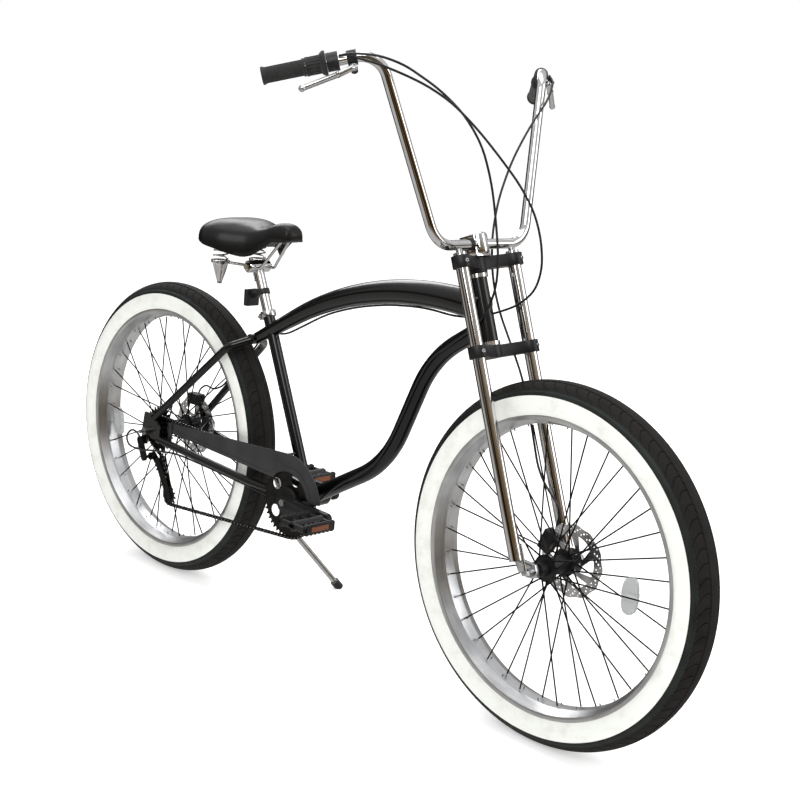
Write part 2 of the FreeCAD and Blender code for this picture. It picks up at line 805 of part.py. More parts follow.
# rear triangle
stays = []
seat_stays = [yoke]
stay_outers = {}
stay_lines = {}
dropouts = {}
for side in (1, -1):
    axle_plate = s.rear_hub_width / 2 + s.dropout_thickness / 2
    corners = [(-s.dropout_rear, -s.dropout_bottom), (s.dropout_front, -s.dropout_bottom),
               (s.dropout_front, s.dropout_rear),
               (s.dropout_rear, s.dropout_top), (-s.dropout_rear, s.dropout_top)]
    holes = [(ZERO, ZERO, s.rear_axle_radius)]
    place = Placement(rear_axle + out(side, axle_plate), Rotation())
    name = "left_dropout" if side > 0 else "right_dropout"
    if side < 0:
        low = -s.hanger_drop - s.hanger_radius
        corners[0:1] = [(-s.hanger_back - s.hanger_radius, ZERO), (-s.hanger_back - s.hanger_radius, low),
                        (-s.hanger_back + s.hanger_radius, low),
                        (-s.hanger_back + s.hanger_radius, -s.dropout_bottom)]
        holes.append((-s.hanger_back, -s.hanger_drop, s.hanger_bolt_radius))
    dropouts[side] = plate(name, corners, s.dropout_thickness, place, holes)

    start = bracket + out(side, s.chain_stay_start_side)
    knee = bracket + vec(-s.chain_stay_knee_back, 0, s.chain_stay_knee_rise) + out(side,
        s.chain_stay_knee_side)
    end = rear_axle + vec(s.chain_stay_end_forward, 0, -s.chain_stay_end_drop) + out(side, axle_plate)
    shell, outer = hollow_pipe(f"chain_stay_{side}", [start, knee, end], s.chain_stay_bend,
                               s.chain_stay_radius, s.stay_wall)
    stay_outers[side] = outer
    stays.append(cut("chain_stay", shell, shell_outer, dropouts[side]))

    start = top_end + out(side, s.yoke_width / 4)
    shoulder = top_end + vec(-s.seat_stay_shoulder_back, 0, -s.seat_stay_shoulder_drop) + out(side,
        s.seat_stay_shoulder_side)
    end = rear_axle + vec(s.seat_stay_end_forward, 0, s.seat_stay_end_rise) + out(side, axle_plate)
    shell, outer = hollow_pipe(f"seat_stay_{side}", [start, shoulder, end], s.seat_stay_bend,
                               s.seat_stay_radius, s.stay_wall)
    seat_stays.append(cut("seat_stay", shell, yoke, dropouts[side], stay_outers[side]))
    stay_lines[side] = (shoulder, end)
keep("chain_stays", group("chain_stays", *stays, *dropouts.values()))
keep("seat_stays", group("seat_stays", *seat_stays))

# seat clamp
clamp_base = bracket + SEAT_UP * float(s.seat_tube_length - s.clamp_height)
SEAT_TURN = Rotation(Z_AXIS, SEAT_UP)
SEAT_BACK = SEAT_TURN.multVec(-X_AXIS)
ring = cylinder("clamp_ring", s.clamp_radius, s.clamp_height, clamp_base, SEAT_UP)
lug_centre = clamp_base + SEAT_UP * float(s.clamp_height / 2) + SEAT_BACK * float(s.clamp_radius
    + s.clamp_lug_length / 2 - s.overrun)
lug = box("clamp_lug", (s.clamp_lug_length + s.overrun, s.clamp_lug_width, s.clamp_height), lug_centre,
          SEAT_TURN)
bolt_start = lug_centre + SEAT_BACK * float(s.clamp_bolt_radius) - out(1, s.clamp_bolt_length / 2)
bolt = cylinder("clamp_bolt", s.clamp_bolt_radius, s.clamp_bolt_length, bolt_start, Y_AXIS)
collar = cut("clamp_collar", fuse("clamp_body", ring, lug), seat_outer, bolt)
keep("seat_clamp", group("seat_clamp", collar, bolt))


# fork
leg_half = s.leg_spread / 2
lower_crown_base = s.head_base - s.cup_flange_height - s.lower_crown_gap - s.crown_thickness
upper_crown_base = s.head_base + s.head_length + s.cup_flange_height + s.upper_crown_gap
upper_top = upper_crown_base + s.crown_thickness
steerer_length = upper_top + s.steerer_stub - lower_crown_base
LEG_TURN = Rotation(Z_AXIS, STEER_UP)
steerer_outer = cylinder("steerer_outer", s.steerer_radius, steerer_length, steer(lower_crown_base, 0, 0),
                         STEER_UP)
steerer_bore = cylinder("steerer_bore", s.steerer_radius - s.steerer_wall, steerer_length + s.overrun * 2,
                        steer(lower_crown_base - s.overrun, 0, 0), STEER_UP)
keep("steerer", cut("steerer", steerer_outer, steerer_bore))
legs = []
leg_solids = []
for side in (1, -1):
    base = steer(s.leg_bottom, s.leg_offset, leg_half * side)
    solid = cylinder("leg_outer", s.leg_radius, upper_top - s.leg_bottom, base, STEER_UP)
    bore = cylinder("leg_bore", s.leg_radius - s.leg_wall, upper_top - s.leg_bottom + s.overrun,
                    base - STEER_UP * float(s.overrun / 2), STEER_UP)
    leg_solids.append(solid)
    legs.append(cut("leg", solid, bore))
    cap = cylinder("leg_cap", s.leg_radius, s.leg_cap_height,
                   steer(upper_top, s.leg_offset, leg_half * side), STEER_UP)
    legs.append(cap)
keep("fork_legs", group("fork_legs", *legs))


def crown(name, base, lower_hub):
    """One crown: a hub on the steerer, a boss round each leg and webs between them."""
    solids = [cylinder(name + "_hub", s.crown_hub_radius, s.crown_thickness + lower_hub,
                       steer(base - lower_hub, 0, 0), STEER_UP)]
    for side in (1, -1):
        boss = steer(base, s.leg_offset, leg_half * side)
        solids.append(cylinder(name + "_boss", s.leg_radius + s.crown_boss_wall, s.crown_thickness, boss,
                               STEER_UP))
        middle = steer(base + s.crown_thickness / 2, s.leg_offset / 2, leg_half * side / 2)
        reach = math.hypot(float(leg_half), float(s.leg_offset))
        turn = math.degrees(math.atan2(float(leg_half) * side, float(s.leg_offset)))
        web = doc.addObject("Part::Box", name + "_web")
        web.Length = reach
        bind(web, "Width", s.crown_web_width)
        bind(web, "Height", s.crown_thickness)
        corner = vec(-reach / 2, -s.crown_web_width / 2, -s.crown_thickness / 2)
        web.Placement = Placement(middle, LEG_TURN * Rotation(Z_AXIS, turn)) * Placement(corner, Rotation())
        solids.append(web)
    return keep(name, cut(name, fuse(name + "_body", *solids), steerer_outer, *leg_solids))


crown("lower_crown", lower_crown_base, s.clear_gap)
crown("upper_crown", upper_crown_base, s.upper_crown_gap - s.clear_gap)

fork_drops = []
for side in (1, -1):
    tail_half = s.leg_radius - s.overrun
    rear = s.leg_offset - tail_half
    front = s.leg_offset + tail_half
    low = s.axle_nut_radius + s.overrun
    corners = [(rear, s.leg_bottom), (rear + s.overrun, s.overrun), (s.fork_rake - s.overrun, -low),
               (s.fork_rake + low, -low), (s.fork_rake + low, low), (front, s.leg_bottom)]
    centre = steer(0, 0, (s.front_hub_width / 2 + s.fork_drop_thickness / 2) * side)
    fork_drops.append(plate("fork_dropout", corners, s.fork_drop_thickness, Placement(centre, LEG_TURN),
                            [(s.fork_rake, ZERO, s.front_axle_radius)]))
keep("fork_dropouts", group("fork_dropouts", *fork_drops))

# stem and handlebar
bar_along = upper_top + s.bar_lift
bar_centre = steer(bar_along, s.bar_forward, 0)
bar_points = {}
for side in (1, -1):
    low_bend = bar_centre + vec(s.bar_bottom_forward, 0, 0) + out(side, s.bar_bottom_half)
    high_bend = low_bend + vec(-s.bar_lean_back, 0, s.bar_rise) + out(side, s.bar_flare)
    bar_end = high_bend + vec(-s.grip_back, 0, -s.grip_drop) + out(side, s.grip_out)
    bar_points[side] = (low_bend, high_bend, bar_end)


def bar_route():
    """The bar from end to end, with its own radius at the low and the high bends."""
    right = bar_points[-1]
    left = bar_points[1]
    low_left = route([bar_centre, left[0], (left[0] + left[1]) / 2], float(s.bar_low_bend))
    high_left = route([(left[0] + left[1]) / 2, left[1], left[2]], float(s.bar_high_bend))
    low_right = route([(right[0] + right[1]) / 2, right[0], bar_centre], float(s.bar_low_bend))
    high_right = route([right[2], right[1], (right[0] + right[1]) / 2], float(s.bar_high_bend))
    return Part.Wire(high_right.OrderedEdges + low_right.OrderedEdges + low_left.OrderedEdges
                     + high_left.OrderedEdges)


bar_path = bar_route()
bar_solid = feature("bar_solid", pipe(bar_path, float(s.bar_radius)))
keep("handlebar", feature("handlebar", bar_solid.Shape.cut(pipe(bar_path, float(s.bar_radius - s.bar_wall)))))
stem_top = bar_along + s.bar_radius + s.stem_cap_height / 2
stem_block = box("stem_block", (s.stem_depth, s.stem_width, stem_top - upper_top),
                 steer((stem_top + upper_top) / 2, s.bar_forward / 2, 0), LEG_TURN)
keep("stem", cut("stem", stem_block, bar_solid, steerer_outer))

# hand controls
grips = []
brackets = []
for side in (1, -1):
    _, high_bend, bar_end = bar_points[side]
    along = (bar_end - high_bend).normalize()
    outward = along.cross(Z_AXIS).normalize() * side
    upward = (Z_AXIS - along * along.z).normalize()
    drop = (outward - upward).normalize()
    hinge = along.cross(drop)
    total = s.left_grip_length if side > 0 else s.right_grip_length
    grip_base = bar_end - along * float(total - s.grip_end_wall)
    sleeve = cylinder("grip_sleeve", s.grip_radius, total, grip_base, along)
    grips.append(cut("grip", sleeve, bar_solid))

    perch = high_bend + along * float(s.perch_place)
    clamp = cylinder("perch_clamp", s.perch_radius, s.perch_length, perch, along)
    pivot = perch + along * float(s.perch_length / 2) + drop * float(s.pivot_offset)
    base = pivot - hinge * float(s.lever_hub_height / 2 + s.clear_gap + s.perch_arm_thickness)
    post = cylinder("perch_post", s.perch_arm_radius, s.perch_arm_thickness, base, hinge)
    arm = rod("perch_arm", s.perch_arm_thickness / 2, base + hinge * float(s.perch_arm_thickness / 2),
              perch + along * float(s.perch_length / 2) - hinge * float(s.perch_radius / 2))
    pin = cylinder("perch_pin", s.pivot_pin_radius,
                   s.lever_hub_height + s.clear_gap * 2 + s.perch_arm_thickness, base, hinge)
    brackets.append(cut("perch", fuse("perch_body", clamp, post, arm, pin), bar_solid))

    knee = pivot + along * float(s.lever_knee_along) + drop * float(s.lever_knee_offset - s.pivot_offset)
    tip = pivot + along * float(s.lever_tip_along) + drop * float(s.lever_tip_offset - s.pivot_offset)
    blade = feature("lever_blade", pipe(route([pivot, knee, tip], float(s.lever_bend)),
                                        float(s.lever_radius)))
    eye = cylinder("lever_eye", s.lever_hub_radius, s.lever_hub_height,
                   pivot - hinge * float(s.lever_hub_height / 2), hinge)
    ball = doc.addObject("Part::Sphere", "lever_ball")
    bind(ball, "Radius", s.lever_ball_radius)
    ball.Placement = Placement(tip, Rotation())
    hole = cylinder("lever_hole", s.pivot_pin_radius + s.running_gap, s.lever_hub_height + s.overrun * 2,
                    pivot - hinge * float(s.lever_hub_height / 2 + s.overrun), hinge)
    label = "left_brake_lever" if side > 0 else "right_brake_lever"
    keep(label, cut(label, fuse("lever_body", blade, eye, ball), hole))
    print(label, "pivot", tuple(round(v, 2) for v in pivot), "axis", tuple(round(v, 4) for v in hinge))
    if side < 0:
        twist_end = grip_base - along * float(s.control_gap)
        twist_base = twist_end - along * float(s.twist_length)
        bore = s.bar_radius + s.running_gap
        points = [(bore, ZERO), (s.twist_collar_radius, ZERO), (s.twist_collar_radius, s.twist_collar_width),
                  (s.twist_radius, s.twist_collar_width), (s.twist_radius, s.twist_length), (bore,
                      s.twist_length)]
        keep("twist_grip", lathe("twist_grip", points, twist_base, along))
        body_base = twist_base - along * float(s.control_gap + s.shifter_length)
        housing = cylinder("shifter_housing", s.shifter_radius, s.shifter_length, body_base, along)
        brackets.append(cut("shifter_body", housing, bar_solid))
        print("twist axis", tuple(round(v, 4) for v in along), "at", tuple(round(v, 2) for v in twist_base))
keep("grips", group("grips", *grips))
keep("control_brackets", group("control_brackets", *brackets))

# quick release: its barrel lies across the axle end and its blade stands up beside the leg
nut_face = s.front_hub_width / 2 + s.fork_drop_thickness + s.axle_nut_length
barrel_side = nut_face + s.clear_gap + s.quick_barrel_radius
barrel_centre = front_axle - out(1, barrel_side)
barrel = cylinder("quick_barrel", s.quick_barrel_radius, s.quick_barrel_length,
                  barrel_centre - STEER_FORWARD * float(s.quick_barrel_length / 2), STEER_FORWARD)
blade = cylinder("quick_blade", s.quick_blade_radius, s.quick_blade_length, barrel_centre, STEER_UP)
keep("quick_release_lever", fuse("quick_release_lever", barrel, blade))
print("quick release pivot", tuple(round(v, 2) for v in barrel_centre))


def fixed(number):
    return Size(number, repr(float(number)))


def strap(name, start, end, start_radius, end_radius, thickness):
    """A flat link in a plane across Y, with round ends about its two centres."""
    along = end - start
    slope = math.asin((float(start_radius) - float(end_radius)) / along.Length)
    corners = []
    for sign in (1, -1):
        for place, radius in ((0, start_radius), (along.Length, end_radius)):
            reach = float(radius)
            corners.append((fixed(place + reach * math.sin(slope)), fixed(sign * reach * math.cos(slope))))
    corners = [corners[0], corners[1], corners[3], corners[2]]
    turn = Rotation(Y_AXIS, -math.degrees(math.atan2(along.z, along.x)))
    web = plate(name + "_web", corners, thickness, Placement(start, turn))
    ends = [cylinder(name + "_end", radius, thickness, place - out(1, thickness / 2), Y_AXIS)
            for place, radius in ((start, start_radius), (end, end_radius))]
    return fuse(name, web, *ends)


# crank set
crank_outer = s.crank_inner + s.crank_thickness
spindle_points = [(ZERO, -crank_outer - s.crank_bolt_height),
                  (s.crank_bolt_radius, -crank_outer - s.crank_bolt_height),
                  (s.crank_bolt_radius, -crank_outer), (s.spindle_radius,
                      -crank_outer), (s.spindle_radius, crank_outer),
                  (s.crank_bolt_radius, crank_outer), (s.crank_bolt_radius,
                      crank_outer + s.crank_bolt_height),
                  (ZERO, crank_outer + s.crank_bolt_height)]
keep("crank_spindle", lathe("crank_spindle", spindle_points, bracket, Y_AXIS))
ring_face = s.chain_line + s.tooth_thickness / 2
ring_disc = toothed_disc(RING_TEETH, float(s.tooth_thickness))
ring_disc.translate(bracket - out(1, s.chain_line))
ring_blank = feature("ring_blank", ring_disc)
ring_holes = [cylinder("ring_bore", s.spindle_radius + s.overrun, s.overrun * 2,
                       bracket - out(1, ring_face + s.overrun / 2), Y_AXIS)]
for index in range(RING_WINDOWS):
    angle = 2 * math.pi * index / RING_WINDOWS
    place = bracket + Vector(math.cos(angle), 0, math.sin(angle)) * float(s.ring_window_circle)
    ring_holes.append(cylinder("ring_window", s.ring_window_radius, s.overrun * 2,
                               place - out(1, ring_face + s.overrun / 2), Y_AXIS))
keep("chainring", cut("chainring", ring_blank, group("ring_holes", *ring_holes)))
spindle_hole = cylinder("spindle_hole", s.spindle_radius, crank_outer * 2, bracket - out(1, crank_outer),
                        Y_AXIS)
for side, label in ((-1, "right_crank_arm"), (1, "left_crank_arm")):
    centre = bracket + out(side, s.crank_inner + s.crank_thickness / 2)
    tip = centre + vec(-s.crank_length * side, 0, 0)
    arm = strap(label + "_arm", centre, tip, s.crank_boss_radius, s.crank_tip_radius, s.crank_thickness)
    reach = s.crank_thickness / 2 + s.pedal_gap + s.pedal_width
    axle = cylinder("pedal_axle", s.pedal_axle_radius, reach, tip, Y_AXIS * side)
    solids = [arm, axle]
    if side < 0:
        solids.append(cylinder("spider", s.spider_radius, s.crank_inner - ring_face,
                               bracket - out(1, s.crank_inner), Y_AXIS))
    keep(label, cut(label, fuse(label + "_body", *solids), spindle_hole))

    middle = tip + out(side, s.crank_thickness / 2 + s.pedal_gap + s.pedal_width / 2)
    core = cylinder("pedal_core", s.pedal_core_radius, s.pedal_width, middle - out(1, s.pedal_width / 2),
                    Y_AXIS)
    solids = [core]
    for end in (1, -1):
        rail = middle + X_AXIS * (end * float(s.pedal_length - s.pedal_rail) / 2)
        solids.append(box("pedal_rail", (s.pedal_rail, s.pedal_width, s.pedal_thickness), rail, Rotation()))
        cheek = middle + out(end, s.pedal_width / 2 - s.pedal_rail / 2)
        solids.append(box("pedal_cheek", (s.pedal_length, s.pedal_rail, s.pedal_core_radius), cheek,
                          Rotation()))
    bore = cylinder("pedal_bore", s.pedal_axle_radius + s.running_gap, s.pedal_width + s.overrun * 2,
                    middle - out(1, s.pedal_width / 2 + s.overrun), Y_AXIS)
    name = label.replace("crank_arm", "pedal")
    keep(name, cut(name, fuse(name + "_body", *solids), bore))

# freewheel
cogs = []
for index, teeth in enumerate(COG_TEETH):
    disc = toothed_disc(teeth, float(s.tooth_thickness))
    disc.translate(rear_axle - out(1, s.chain_line + s.cog_spacing * (index - CHAIN_COG)))
    cogs.append(feature(f"cog_{index}", disc))
cluster = s.cog_spacing * (len(COG_TEETH) - 1) + s.tooth_thickness * 2
cluster_end = rear_axle - out(1, freewheel_inner + cluster)
core = cylinder("freewheel_core", s.freewheel_radius, cluster, cluster_end, Y_AXIS)
core_bore = cylinder("freewheel_bore", s.rear_axle_radius + s.running_gap, cluster + s.overrun * 2,
                     cluster_end - out(1, s.overrun), Y_AXIS)
keep("freewheel", cut("freewheel", fuse("freewheel_body", core, *cogs), core_bore))

# rear derailleur
guide = rear_axle + vec(s.cage_pivot_forward, 0, -s.cage_pivot_drop)
jockeys = {"upper_jockey_wheel": rear_axle + vec(s.upper_jockey_forward, 0, -s.upper_jockey_drop),
           "lower_jockey_wheel": rear_axle + vec(s.lower_jockey_forward, 0, -s.lower_jockey_drop)}
upper, lower = jockeys.values()
cage_outer = s.chain_line + s.cage_gap / 2 + s.cage_plate
hanger = rear_axle + vec(-s.hanger_back, 0, -s.hanger_drop)
hanger_face = s.rear_hub_width / 2 + s.dropout_thickness
link_outer = s.link_inner + s.link_thickness
mount = cylinder("derailleur_mount", s.knuckle_radius, link_outer - hanger_face,
                 hanger - out(1, link_outer), Y_AXIS)
hanger_bolt = cylinder("hanger_bolt", s.hanger_bolt_radius, s.dropout_thickness,
                       hanger - out(1, hanger_face), Y_AXIS)
link_side = s.link_inner + s.link_thickness / 2
link = strap("derailleur_link", hanger - out(1, link_side), guide - out(1, link_side), s.knuckle_radius,
             s.knuckle_radius, s.link_thickness)
pin_end = cage_outer - s.cage_plate + s.clear_gap
guide_pin = cylinder("guide_pin", s.guide_pin_radius, s.link_inner - pin_end,
                     guide - out(1, s.link_inner), Y_AXIS)
keep("derailleur_body", fuse("derailleur_body", mount, hanger_bolt, link, guide_pin))
knuckle_base = guide - out(1, cage_outer + s.clear_gap + s.knuckle_length)
knuckle = cylinder("knuckle", s.knuckle_radius, s.knuckle_length, knuckle_base, Y_AXIS)
guide_hole = cylinder("guide_hole", s.guide_pin_radius + s.running_gap, s.link_inner,
                      guide - out(1, s.link_inner), Y_AXIS)
keep("derailleur_knuckle", cut("derailleur_knuckle", knuckle, guide_hole))
plates = []
for sign in (1, -1):
    side = s.chain_line + (s.cage_gap + s.cage_plate) / 2 * sign
    plates.append(strap("cage_side", upper - out(1, side), lower - out(1, side), s.cage_radius,
                        s.cage_radius, s.cage_plate))
    if sign > 0:
        plates.append(strap("cage_ear", guide - out(1, side), upper - out(1, side), s.cage_radius,
                            s.cage_radius, s.cage_plate))
for place in (upper, lower):
    plates.append(cylinder("jockey_axle", s.jockey_axle_radius, s.cage_gap + s.cage_plate * 2,
                           place - out(1, cage_outer), Y_AXIS))
keep("derailleur_cage", cut("derailleur_cage", fuse("cage_body", *plates), guide_hole))
for label, place in jockeys.items():
    teeth = toothed_disc(JOCKEY_TEETH, float(s.tooth_thickness))
    teeth.translate(place - out(1, s.chain_line))
    width = s.cage_gap - s.clear_gap * 2
    hub_body = cylinder("jockey_hub", s.jockey_hub_radius, width,
                        place - out(1, s.chain_line + width / 2), Y_AXIS)
    bore = cylinder("jockey_bore", s.jockey_axle_radius + s.running_gap, s.cage_gap,
                    place - out(1, s.chain_line + s.cage_gap / 2), Y_AXIS)
    keep(label, cut(label, fuse(label + "_body", feature(label + "_teeth", teeth), hub_body), bore))

# chain: two side bands on one loop round the ring, cog and jockeys, with pins along its straight runs
PULLEYS = [(bracket, RING_TEETH, 1), (rear_axle, COG_TEETH[CHAIN_COG], 1), (upper, JOCKEY_TEETH, -1),
           (lower, JOCKEY_TEETH, 1)]


def tangent(first, second, shift):
    """Where the loop leaves one pulley and meets the next, for a line shifted to its left."""
    ends = []
    span = second[0] - first[0]
    radii = [(pitch_radius(teeth) - turn * shift) * turn for _, teeth, turn in (first, second)]
    heading = math.atan2(span.z, span.x) - math.asin((radii[1] - radii[0]) / math.hypot(span.x, span.z))
    left = Vector(-math.sin(heading), 0, math.cos(heading))
    for (centre, _, _), reach in zip((first, second), radii):
        ends.append(centre - left * reach)
    return ends


def chain_loop(shift):
    edges = []
    count = len(PULLEYS)
    runs = [tangent(PULLEYS[i], PULLEYS[(i + 1) % count], shift) for i in range(count)]
    for index, (centre, teeth, turn) in enumerate(PULLEYS):
        arrive = runs[index - 1][1]
        leave = runs[index][0]
        radius = pitch_radius(teeth) - turn * shift
        start = math.atan2(arrive.z - centre.z, arrive.x - centre.x)
        sweep = (math.atan2(leave.z - centre.z, leave.x - centre.x) - start) * turn % (2 * math.pi)
        half = start + turn * sweep / 2
        crest = centre + Vector(math.cos(half), 0, math.sin(half)) * radius
        edges.append(Part.Arc(arrive, crest, leave).toShape())
        edges.append(Part.LineSegment(*runs[index]).toShape())
    return Part.Wire(edges), runs


half_height = float(s.chain_height) / 2
loops = [chain_loop(shift)[0] for shift in (-half_height, half_height)]
band = Part.Face(loops[0]).cut(Part.Face(loops[1]))
chain_half = s.chain_inner_gap / 2 + s.chain_plate
solids = []
for inner in (s.chain_line - chain_half, s.chain_line + s.chain_inner_gap / 2):
    strip = band.extrude(-Y_AXIS * float(s.chain_plate))
    strip.translate(-Y_AXIS * float(inner))
    solids.append(strip)
for start, end in chain_loop(0)[1]:
    span = end - start
    count = int(span.Length / float(s.chain_pitch))
    for index in range(CHAIN_END_PINS, count - CHAIN_END_PINS + 1):
        place = start + span * (index / count) - out(1,
            s.chain_line + s.chain_inner_gap / 2 + s.chain_plate / 2)
        solids.append(Part.makeCylinder(float(s.chain_pin_radius),
                                        float(s.chain_inner_gap + s.chain_plate), place, Y_AXIS))
keep("chain", feature("chain", solids[0].fuse(solids[1:])))

# chain guard
guard_side = s.crank_inner - s.guard_gap - s.guard_thickness / 2


def round_bracket(angle, radius):
    return bracket + Vector(math.cos(angle), 0, math.sin(angle)) * radius


outer_radius = float(s.guard_outer_radius)
inner_radius = float(s.guard_inner_radius)
tail_top = bracket + vec(-s.guard_tail_length, 0, s.guard_tail_top)
tail_bottom = bracket + vec(-s.guard_tail_length, 0, s.guard_tail_bottom)
reach = tail_top - bracket
crest = math.atan2(reach.z, reach.x) - math.acos(outer_radius / reach.Length)
front = math.radians(float(s.guard_front_angle))
notch = math.radians(float(s.guard_notch_angle))
guard_wire = Part.Wire([
    Part.LineSegment(tail_top, round_bracket(crest, outer_radius)).toShape(),
    Part.Arc(round_bracket(crest, outer_radius), round_bracket((crest + front) / 2, outer_radius),
             round_bracket(front, outer_radius)).toShape(),
    Part.LineSegment(round_bracket(front, outer_radius), round_bracket(front, inner_radius)).toShape(),
    Part.Arc(round_bracket(front, inner_radius), round_bracket((front + notch) / 2, inner_radius),
             round_bracket(notch, inner_radius)).toShape(),
    Part.LineSegment(round_bracket(notch, inner_radius), tail_bottom).toShape(),
    Part.LineSegment(tail_bottom, tail_top).toShape(),
])
guard_panel = Part.Face(guard_wire).extrude(-Y_AXIS * float(s.guard_thickness))
guard_panel.translate(-Y_AXIS * float(guard_side - s.guard_thickness / 2))
guard = feature("guard_panel", guard_panel)
post_place = bracket + SEAT_UP * float(s.guard_post_place)
post = cut("guard_post", rod("guard_post_rod", s.guard_post_radius, post_place,
                             post_place - out(1, guard_side - s.guard_thickness / 2)), seat_outer)
tab_centre = tail_bottom + vec(s.guard_tab_length, 0, 0) - out(1,
    guard_side + s.guard_thickness / 2 + s.guard_tab_thickness / 2)
tab = cut("guard_tab", box("guard_tab_box",
                           (s.guard_tab_length, s.guard_tab_thickness, s.guard_tab_height), tab_centre,
                           Rotation()), stay_outers[-1])
keep("chain_guard", group("chain_guard", guard, post, tab))


# disc brakes
def caliper(name, axle, rotor_offset, angle, arm, *tools):
    """A block that straddles the rotor's edge, with the arm that bolts it on."""
    turn = Rotation(Y_AXIS, 90 - float(angle))
    radial = turn.multVec(Z_AXIS)
    centre = axle + radial * float(s.caliper_reach) + out(1, rotor_offset)
    block = box(name + "_block", (s.caliper_length, s.caliper_width, s.caliper_height), centre, turn)
    slot = box(name + "_slot", (s.caliper_length + s.overrun, s.caliper_slot, s.caliper_height),
               centre - radial * float(s.overrun), turn)
    return keep(name, cut(name, fuse(name + "_body", cut(name + "_jaws", block, slot), arm),
                          *tools)), centre, turn


mount_width = (s.rear_hub_width / 2 - s.rear_rotor_offset - s.rotor_thickness / 2 - s.caliper_mount_inset)
mount_side = s.rear_hub_width / 2 - mount_width / 2
mount_height = s.caliper_reach - s.caliper_mount_length / 2
rear_arm = box("rear_caliper_arm", (s.caliper_mount_length, mount_width, mount_height),
               rear_axle + out(1, mount_side) + Z_AXIS * float(s.caliper_mount_length / 2
                   + mount_height / 2), Rotation())
rear_brake, rear_brake_centre, rear_brake_turn = caliper("rear_caliper", rear_axle, s.rear_rotor_offset,
    s.rear_caliper_angle, rear_arm)
front_turn = Rotation(Y_AXIS, 90 - float(s.front_caliper_angle))
front_centre = front_axle + front_turn.multVec(Z_AXIS) * float(s.caliper_reach)
front_arm_side = s.front_rotor_offset + s.caliper_slot / 2
front_arm_centre = front_centre + out(1,
                                      (leg_half






                                       + front_arm_side) / 2) + STEER_FORWARD * float(s.caliper_height / 4)
front_arm = box("front_caliper_arm",
                (s.caliper_mount_length, leg_half - front_arm_side, s.caliper_height / 2),
                front_arm_centre, front_turn)
front_brake, front_brake_centre, front_brake_turn = caliper("front_caliper", front_axle,
    s.front_rotor_offset, s.front_caliper_angle,
                                                            front_arm, *leg_solids, *fork_drops)

# seat post, rails and saddle
post_head = bracket + SEAT_UP * float(s.seat_tube_length + s.post_rise)
rail_clamp = cylinder("rail_clamp_body", s.rail_clamp_radius, s.rail_clamp_width,
                      post_head - out(1, s.rail_clamp_width / 2), Y_AXIS)
post_base = bracket + SEAT_UP * float(s.seat_tube_length - s.post_depth)
post_length = s.post_rise + s.post_depth
post_outer = cylinder("post_outer", s.seat_post_radius, post_length, post_base, SEAT_UP)
post_bore = cylinder("post_bore", s.seat_post_radius - s.seat_post_wall, post_length + s.overrun,
                     post_base - SEAT_UP * float(s.overrun), SEAT_UP)
keep("seat_post", cut("seat_post", post_outer, post_bore, rail_clamp))
pan = float(s.saddle_base)
height = float(s.saddle_height)
nose_rise = float(s.saddle_nose_rise)
CROWN_WIDTH_SHARE = 0.78
CROWN_SIDE_SHARE = 0.72
SIDE_BULGE_SHARE = 0.45
SIDE_WIDTH_SHARE = 1.04


def saddle_section(along_share, width_share, height_share, skirt_share, rise_share):
    """One slice across the saddle: a flat base, bulging sides and a crowned top."""
    x = -float(s.saddle_tail) + along_share * float(s.saddle_nose + s.saddle_tail)
    half = width_share * float(s.saddle_half_width)
    floor = pan + rise_share * nose_rise
    base = floor - skirt_share * height
    top = floor + height_share * height
    tall = top - base

    def point(y, z):
        return post_head + Vector(x, y, z)

    corners = [point(-half, base), point(half, base),
               point(half * CROWN_WIDTH_SHARE, base + tall * CROWN_SIDE_SHARE),
               point(-half * CROWN_WIDTH_SHARE, base + tall * CROWN_SIDE_SHARE)]
    bulge = half * SIDE_WIDTH_SHARE
    return Part.Wire([
        Part.LineSegment(corners[0], corners[1]).toShape(),
        Part.Arc(corners[1], point(bulge, base + tall * SIDE_BULGE_SHARE), corners[2]).toShape(),
        Part.Arc(corners[2], point(0, top), corners[3]).toShape(),
        Part.Arc(corners[3], point(-bulge, base + tall * SIDE_BULGE_SHARE), corners[0]).toShape(),
    ])


saddle_solid = feature("saddle",
                       Part.makeLoft([saddle_section(*shares) for shares in SADDLE_SHARES], True, False))
keep("saddle", saddle_solid)


def coil(base, radius, rise, turns, wire):
    """A helix of quarter-turn arcs, swept as one tube."""
    steps = int(turns * 4)

    def point(quarter):
        angle = quarter * math.pi / 2
        return base + Vector(radius * math.cos(angle), radius * math.sin(angle), rise * quarter / steps)

    path = Part.Wire([Part.Arc(point(i), point(i + 0.5), point(i + 1)).toShape() for i in range(steps)])
    places = path.discretize(steps * COIL_SAMPLES)
    apart = COIL_SAMPLES * 2
    least = min((a - b).Length for i, a in enumerate(places) for b in places[i + apart:])
    print("spring: least gap to itself", round(least - 2 * wire, 2))
    return pipe(path, wire)


springs = []
bullets = []
wire = float(s.spring_wire)
flange_top = post_head + vec(-s.spring_back, 0, 0) + Z_AXIS * float(s.bullet_flange_height)
spring_rise = pan - float(s.bullet_flange_height) - 2 * wire
for side in (1, -1):
    seat = flange_top + out(side, s.spring_spread / 2)
    points = [(ZERO, ZERO), (s.bullet_radius, ZERO), (s.bullet_radius, s.bullet_flange_height),
              (s.bullet_radius - s.overrun, s.bullet_flange_height), (s.bullet_tip_radius,
                  s.bullet_flange_height + s.bullet_length),
              (ZERO, s.bullet_flange_height + s.bullet_length)]
    bullets.append(lathe("bullet", points, seat, -Z_AXIS))
    spring_coil = feature("spring_coil", coil(seat + Z_AXIS * wire, float(s.spring_radius), spring_rise,
                                              float(s.spring_turns), wire))
    springs.append(cut("spring", spring_coil, saddle_solid))
keep("saddle_springs", group("saddle_springs", *springs, *bullets))
rails = []
rail_solids = []
